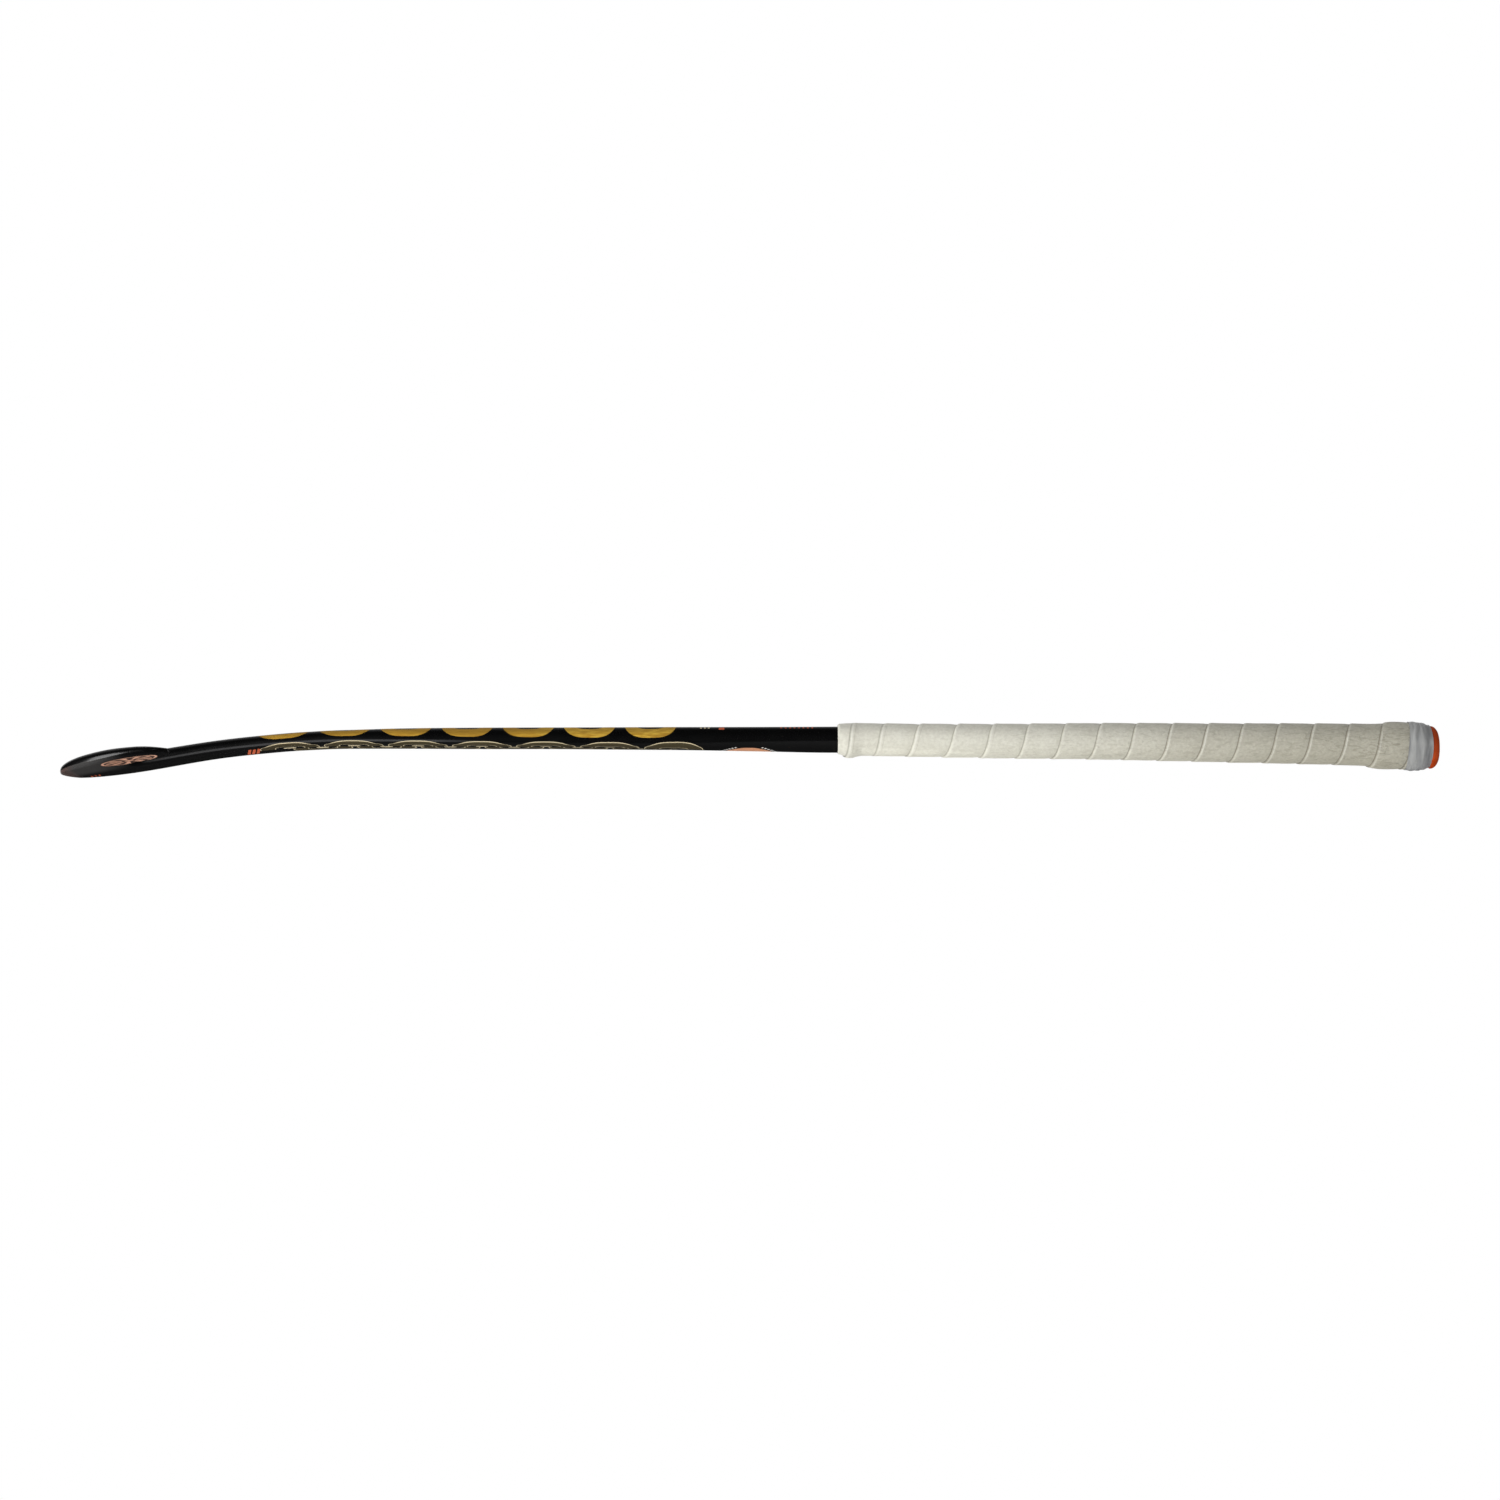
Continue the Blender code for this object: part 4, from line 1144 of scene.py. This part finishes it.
# Most height of the first turn, at the under side and at the top, and the rounding where it starts
FIRST_TURN_LOW = 0.0008
FIRST_TURN_HIGH = 0.0016
FIRST_TURN_ROUNDING = 0.002

# Unevenness of a winding by hand, and the least thickness it leaves
EDGE_WANDER = 0.0005
EDGE_WANDER_RATE = 0.018
EDGE_WANDER_PLACE = (3.7, 1.1)
SURFACE_WANDER = 0.00012
WANDER_ALONG = 70
WANDER_ACROSS = 1.2
WANDER_BY_TURN = 0.02
LEAST_STRIP = 0.00012
TURN_SAMPLES = 15


def turn_height(from_lead):
    return follow(TURN_ROWS, from_lead)


def low_down(step):
    """1 at the under side of the handle and 0 at its top."""
    return ((1 + math.sin(2 * math.pi * step / RING_POINTS)) / 2) ** 2


def lump(step, x):
    """Extra height over the folded end of the strip, most of it underneath."""
    height = blend(LUMP_HIGH, LUMP_LOW, low_down(step))
    return height * ease((x - LUMP_FROM) / LUMP_RAMP) * ease((LUMP_TO - x) / LUMP_RAMP)


def lead_at(step):
    """Where the strip's leading edge is, wandering as it does when wound by hand."""
    turns = step / RING_POINTS
    lead = GRIP_START + TAPE_PITCH * (turns - 1) + follow(WINDING_ROWS, turns, EDGE_SHIFT)
    lead += follow(WINDING_ROWS, turns, STRAIGHTENING) * math.sin(2 * math.pi * turns)
    calm = ease((step - RING_POINTS) / RING_POINTS)
    return lead + calm * EDGE_WANDER * noise.noise(Vector((step * EDGE_WANDER_RATE, *EDGE_WANDER_PLACE)))


def strip_profile(step):
    """Strip's cross-section at a step: the under side, then the outer side back.

    Each entry is a distance from the heel and a height over the handle.
    """
    lead = lead_at(step)
    left = max(GRIP_START, lead)
    right = min(lead + TAPE_WIDTH, TAPE_END)
    before = lead_at(step - RING_POINTS)
    laps_over = step >= RING_POINTS
    drop_end = before + TAPE_WIDTH + LAP_DROP

    def under(x):
        if not laps_over or x >= drop_end:
            return 0.0
        lower = turn_height(x - before) + lump(step, x)
        share = ease((x - before - TAPE_WIDTH) / LAP_DROP)
        return (lower + LAP_GAP) * (1 - share)

    def outer(x):
        height = turn_height(x - lead)
        if not laps_over:
            most = blend(FIRST_TURN_HIGH, FIRST_TURN_LOW, low_down(step))
            height = min(height, most * ease(0.5 + (x - GRIP_START) / FIRST_TURN_ROUNDING))
        return max(height + lump(step, x), under(x) + LEAST_STRIP)

    shares = [ease(i / (TURN_SAMPLES - 1)) for i in range(TURN_SAMPLES)]
    places = [blend(left, right, share) for share in shares]
    below = [(x, under(x)) for x in places]
    above = [(x, outer(x)) for x in reversed(places)]
    return below + above


def make_grip():
    """Chamois strip, wound as one length with each turn lapped over the one before."""
    last_lead = TAPE_END - TAPE_LAST_WIDTH
    steps = int((last_lead - GRIP_START) / TAPE_PITCH * RING_POINTS) + RING_POINTS + 1
    rings = []
    marks = []
    for step in range(steps):
        index = step % RING_POINTS
        across = math.cos(2 * math.pi * step / RING_POINTS)
        profile = strip_profile(step)
        ring = []
        for k, (x, height) in enumerate(profile):
            if k >= TURN_SAMPLES:
                spot = Vector((x * WANDER_ALONG, across * WANDER_ACROSS, step * WANDER_BY_TURN))
                height += SURFACE_WANDER * noise.noise(spot)
            ring.append(section_point(shaft_station(x, BODY_ROWS), index, -(FIT_GAP + height)))
        rings.append(ring)
        lead = lead_at(step)
        next_lead = lead_at(step + RING_POINTS)
        marks.append([Vector((x - GRIP_START, x - lead, next_lead - x)) for x, _ in profile])
    bm = loft(rings, mark="strip_place", marks=marks)
    add_piece("wound_grip", bm, chamois(), "grip_tape")


# Folds of the finishing tape, its thin edge on the grip, and how far it laps over the cap's sides. The
# folds are full at one part in FOLDS_SET_IN of the width, and the edge ends at one in BAND_EDGE_ENDS.
FOLD_HEIGHT = 0.00022
FOLD_PITCH = 0.0052
FOLD_WANDER = 3.2
FOLD_SLANT = 0.8
FOLD_SLANT_TURN = 1.0
FOLD_CLUSTERS = 1.9
FOLD_EVENNESS = 0.6
FOLDS_SET_IN = 5
WANDER_ROUND = 1.3
WANDER_TOWARDS_CAP = 90
BAND_EDGE_SLANT = 0.0022
BAND_EDGE_START = 0.0006
BAND_EDGE_THICKNESS = 0.0003
BAND_EDGE_RISE = 0.0002
BAND_EDGE_ENDS = 4
BAND_LAP = 0.0014
BAND_LAP_CLOSE_IN = 0.0009
BAND_STEPS = 64


def make_finishing_band():
    """Vinyl tape over the last turn, drawn in and folded towards the cap."""
    outer = []
    inner = []
    for step in range(BAND_STEPS + 1):
        share = step / BAND_STEPS
        outer_ring = []
        inner_ring = []
        for index in range(RING_POINTS):
            turn = 2 * math.pi * index / RING_POINTS
            start = FINISH_START + BAND_EDGE_START + BAND_EDGE_SLANT * ease((1 - math.sin(turn)) / 2)
            beside = math.cos(turn) ** 2
            x = blend(start, SHELL_END + BAND_LAP * beside, share)
            past_grip = x - TAPE_END
            close_in = FINISH_CLOSE_IN * ease(past_grip / (SHELL_END - TAPE_END))
            close_in += BAND_LAP_CLOSE_IN * beside * ease(past_grip / (SHELL_END + BAND_LAP - TAPE_END))
            around = Vector((math.cos(turn), math.sin(turn), 0.0)) * WANDER_ROUND
            spot = around + Vector((0.0, 0.0, x * WANDER_TOWARDS_CAP))
            phase = FOLD_WANDER * noise.noise(spot) + FOLD_SLANT * math.sin(turn + FOLD_SLANT_TURN)
            fold = math.sin(2 * math.pi * (x - start) / FOLD_PITCH + phase)
            fold *= FOLD_EVENNESS + noise.noise(spot * FOLD_CLUSTERS)
            past_edge = ease(BAND_EDGE_ENDS * share)
            under = close_in - FINISH_INNER + BAND_EDGE_RISE * (1 - past_edge)
            thick = blend(BAND_EDGE_THICKNESS, FINISH_THICKNESS, past_edge)
            thick = max(thick - FOLD_HEIGHT * fold * ease(FOLDS_SET_IN * share), BAND_EDGE_THICKNESS)
            station = shaft_station(x, BODY_ROWS)
            point = section_point(station, index, under - thick)
            point.z = max(point.z, 0.0)
            outer_ring.append(point)
            inner_ring.append(section_point(station, index, under))
        outer.append(outer_ring)
        inner.append(inner_ring)
    add_piece("finishing_band", pipe(outer, inner), grey_vinyl(), "finishing_tape")


DOME_SEGMENTS = 14


def make_cap():
    """Moulded cap: a domed head and a spigot that plugs into the handle."""
    spigot_radius = PLUG_BORE_RADIUS - FIT_GAP
    spigot_start = CAP_SEAT - SPIGOT_LENGTH
    nose_radius = spigot_radius - SPIGOT_CHAMFER
    half_height = CAP_HEIGHT / 2
    chamfer = CAP_LIP / 3
    rings = [
        oval_ring(spigot_start, nose_radius, nose_radius),
        oval_ring(spigot_start + SPIGOT_CHAMFER, spigot_radius, spigot_radius),
        oval_ring(CAP_SEAT, spigot_radius, spigot_radius),
        oval_ring(CAP_SEAT, CAP_HALF_WIDTH - chamfer, half_height - chamfer),
        oval_ring(CAP_SEAT + chamfer, CAP_HALF_WIDTH, half_height),
    ]
    shoulder = half_height - CAP_FLAT_HALF_HEIGHT
    dome_start = CAP_SEAT + CAP_LIP
    for i in range(DOME_SEGMENTS + 1):
        angle = math.pi / 2 * i / DOME_SEGMENTS
        drawn_in = shoulder * (1 - math.cos(angle))
        x = dome_start + (STICK_LENGTH - dome_start) * math.sin(angle)
        rings.append(oval_ring(x, CAP_HALF_WIDTH - drawn_in, half_height - drawn_in))
    add_piece("moulded_cap", loft(rings), orange_rubber(), "butt_cap")


def dress(name, material):
    """Give a solid that stays its finish."""
    node = nodes[name]
    node.data.materials.clear()
    node.data.materials.append(material)


# Studio
FLOOR_HALF_SIZE = 6.0
FLOOR_COLOUR = (0.92, 0.92, 0.91)
FLOOR_DARK = (0.91, 0.91, 0.90)
FLOOR_LIGHT = (0.93, 0.93, 0.92)
FLOOR_PALENESS = 0.5
FLOOR_CLOUD = (3.0, 2.0)

# Strength of the world: as a fill, and in the gloss, where a bright band lies low and behind the
# stick. Each pair says where one fade starts and ends, as a part of a direction.
WORLD_FILL = 0.33
DARK_SIDE = 0.012
HALF_DARK = 0.14
BAND_FOOT = (-0.10, -0.02)
BAND_TOP = (0.15, 0.45)
HALF_DARK_TOP = (0.55, 0.90)
BAND_DEPTH = (-0.1, 0.4)
BAND_SIDES = (0.25, 0.50)


def make_floor():
    """Pale floor at the height the stick rests on. It looks paler to the camera than it is lit. Its
    under side is clear to the camera, and it lets the lamps under it through and stays out of the
    gloss."""
    bm = bmesh.new()
    bmesh.ops.create_grid(bm, x_segments=1, y_segments=1, size=FLOOR_HALF_SIZE)
    mesh = bpy.data.meshes.new("floor")
    bm.to_mesh(mesh)
    bm.free()
    floor = bpy.data.objects.new("floor", mesh)
    bpy.context.scene.collection.objects.link(floor)
    floor.visible_shadow = False
    floor.visible_glossy = False
    finish = Finish("pale_floor", FLOOR_COLOUR, roughness=0.8, specular=0.2)
    finish.set("Base Color", finish.mix(finish.grain(*FLOOR_CLOUD), FLOOR_DARK, FLOOR_LIGHT))
    seen = finish.node("LightPath", {}).outputs["Is Camera Ray"]
    below = finish.times(finish.node("NewGeometry", {}).outputs["Backfacing"], seen)
    pale = finish.node("Emission", {"Color": FLOOR_COLOUR})
    clear = finish.node("BsdfTransparent", {})
    paler = finish.times(seen, FLOOR_PALENESS)
    top = finish.node("MixShader", {0: paler, 1: finish.shader.outputs[0], 2: pale.outputs[0]})
    surface = finish.node("MixShader", {0: below, 1: top.outputs[0], 2: clear.outputs[0]})
    finish.feed(finish.tree.nodes["Material Output"].inputs["Surface"], surface.outputs[0])
    finish.material.cycles.emission_sampling = "NONE"
    mesh.materials.append(finish.material)


def make_world():
    """White to the camera. Gloss mirrors a bright band of it, low and behind the stick, and a darker
    room elsewhere."""
    world = bpy.data.worlds.new("studio")
    bpy.context.scene.world = world
    world.use_nodes = True
    room = Nodes(world.node_tree)
    sideways, back, up = room.parts(room.node("TexCoord", {}).outputs["Generated"])
    high_up = room.rise(up, *HALF_DARK_TOP, HALF_DARK, DARK_SIDE)
    under_top = room.rise(up, *BAND_TOP, 1.0, high_up)
    above_floor = room.rise(up, *BAND_FOOT, DARK_SIDE, under_top)
    behind = room.rise(back, *BAND_DEPTH, DARK_SIDE, above_floor)
    mirrored = room.rise(room.size(sideways), *BAND_SIDES, behind, DARK_SIDE)
    ray = room.node("LightPath", {})
    glossy = room.rise(ray.outputs["Is Glossy Ray"], 0.0, 1.0, WORLD_FILL, mirrored)
    clear = room.rise(ray.outputs["Is Transmission Ray"], 0.0, 1.0, glossy, 1.0)
    seen = room.rise(ray.outputs["Is Camera Ray"], 0.0, 1.0, clear, 1.0)
    background = room.tree.nodes["Background"]
    room.feed(background.inputs["Color"], (1.0, 1.0, 1.0))
    room.feed(background.inputs["Strength"], seen)


# Lamps: name, place, what they face, width and height, power in watts, whether the gloss shows
# them, and whether they light what is matt
LAMPS = [
    ("key", (-1.62, -0.92, 0.05), (-0.42, -0.03, 0.01), 1.0, 1.8, 32.0, True, True),
    ("streak", (-1.12, -1.34, 0.00), (-0.42, -0.03, 0.01), 0.35, 0.7, 5.5, True, False),
    ("front", (-0.9, -2.2, 0.35), (-0.2, 0.0, 0.02), 1.8, 0.8, 8.0, False, True),
    ("overhead", (-0.2, 0.2, 1.6), (-0.2, 0.0, 0.0), 1.8, 1.2, 3.5, False, True),
    ("under", (-0.35, -0.38, -0.80), (-0.2, 0.0, 0.01), 2.2, 1.0, 17.5, False, True),
    ("side", (1.30, -1.0, 0.25), (-0.3, 0.0, 0.01), 0.6, 0.4, 1.2, True, False),
]


def soft_lamp(name, place, target, width, height, power, glossy, diffuse):
    light = bpy.data.lights.new(name, "AREA")
    light.shape = "RECTANGLE"
    light.size = width
    light.size_y = height
    light.energy = power
    lamp = bpy.data.objects.new(name, light)
    bpy.context.scene.collection.objects.link(lamp)
    lamp.location = place
    lamp.rotation_euler = (Vector(target) - Vector(place)).to_track_quat("-Z", "Y").to_euler()
    lamp.visible_camera = False
    lamp.visible_glossy = glossy
    lamp.visible_diffuse = diffuse


# Camera, at the photograph's viewing angle: a little under the stick, square to its side
LOOK_AT = Vector((-0.0019, 0.031, 0.01675))
CAMERA_DISTANCE = 3.4
LOOKING_UP = math.radians(5.5)
CAMERA_ROLL = math.radians(0.343)
MM_PER_PIXEL = 0.6763
PICTURE_PIXELS = 1500
SENSOR_MM = 36.0


def make_camera():
    camera = bpy.data.cameras.new("camera")
    camera.sensor_fit = "HORIZONTAL"
    camera.sensor_width = SENSOR_MM
    camera.lens = SENSOR_MM / PICTURE_PIXELS * CAMERA_DISTANCE * 1000 / MM_PER_PIXEL
    view = bpy.data.objects.new("camera", camera)
    bpy.context.scene.collection.objects.link(view)
    forward = Vector((0.0, math.cos(LOOKING_UP), math.sin(LOOKING_UP)))
    level = Vector((1.0, 0.0, 0.0))
    upright = level.cross(forward)
    right = level * math.cos(CAMERA_ROLL) - upright * math.sin(CAMERA_ROLL)
    up = upright * math.cos(CAMERA_ROLL) + level * math.sin(CAMERA_ROLL)
    turned = Matrix((right, up, -forward)).transposed()
    view.matrix_world = Matrix.Translation(LOOK_AT - forward * CAMERA_DISTANCE) @ turned.to_4x4()
    bpy.context.scene.camera = view


make_camera()
make_shell()
make_foam_layer("foam_sleeve", every(SLEEVE_START, FLARE_START - FIT_GAP, SHAFT_STEP), "handle_sleeve")
make_foam_layer("foam_collar", every(FLARE_START, SHELL_END, COLLAR_STEP), "butt_collar")
make_grip()
make_finishing_band()
make_cap()

foam = cell_foam()
laminate = woven_laminate()
dress("head_core", foam)
dress("handle_plug", foam)
dress("inner_tube_heel_side", laminate)
dress("inner_tube_toe_side", laminate)
make_floor()
make_world()
for lamp in LAMPS:
    soft_lamp(*lamp)
bpy.context.scene.view_settings.view_transform = "Standard"
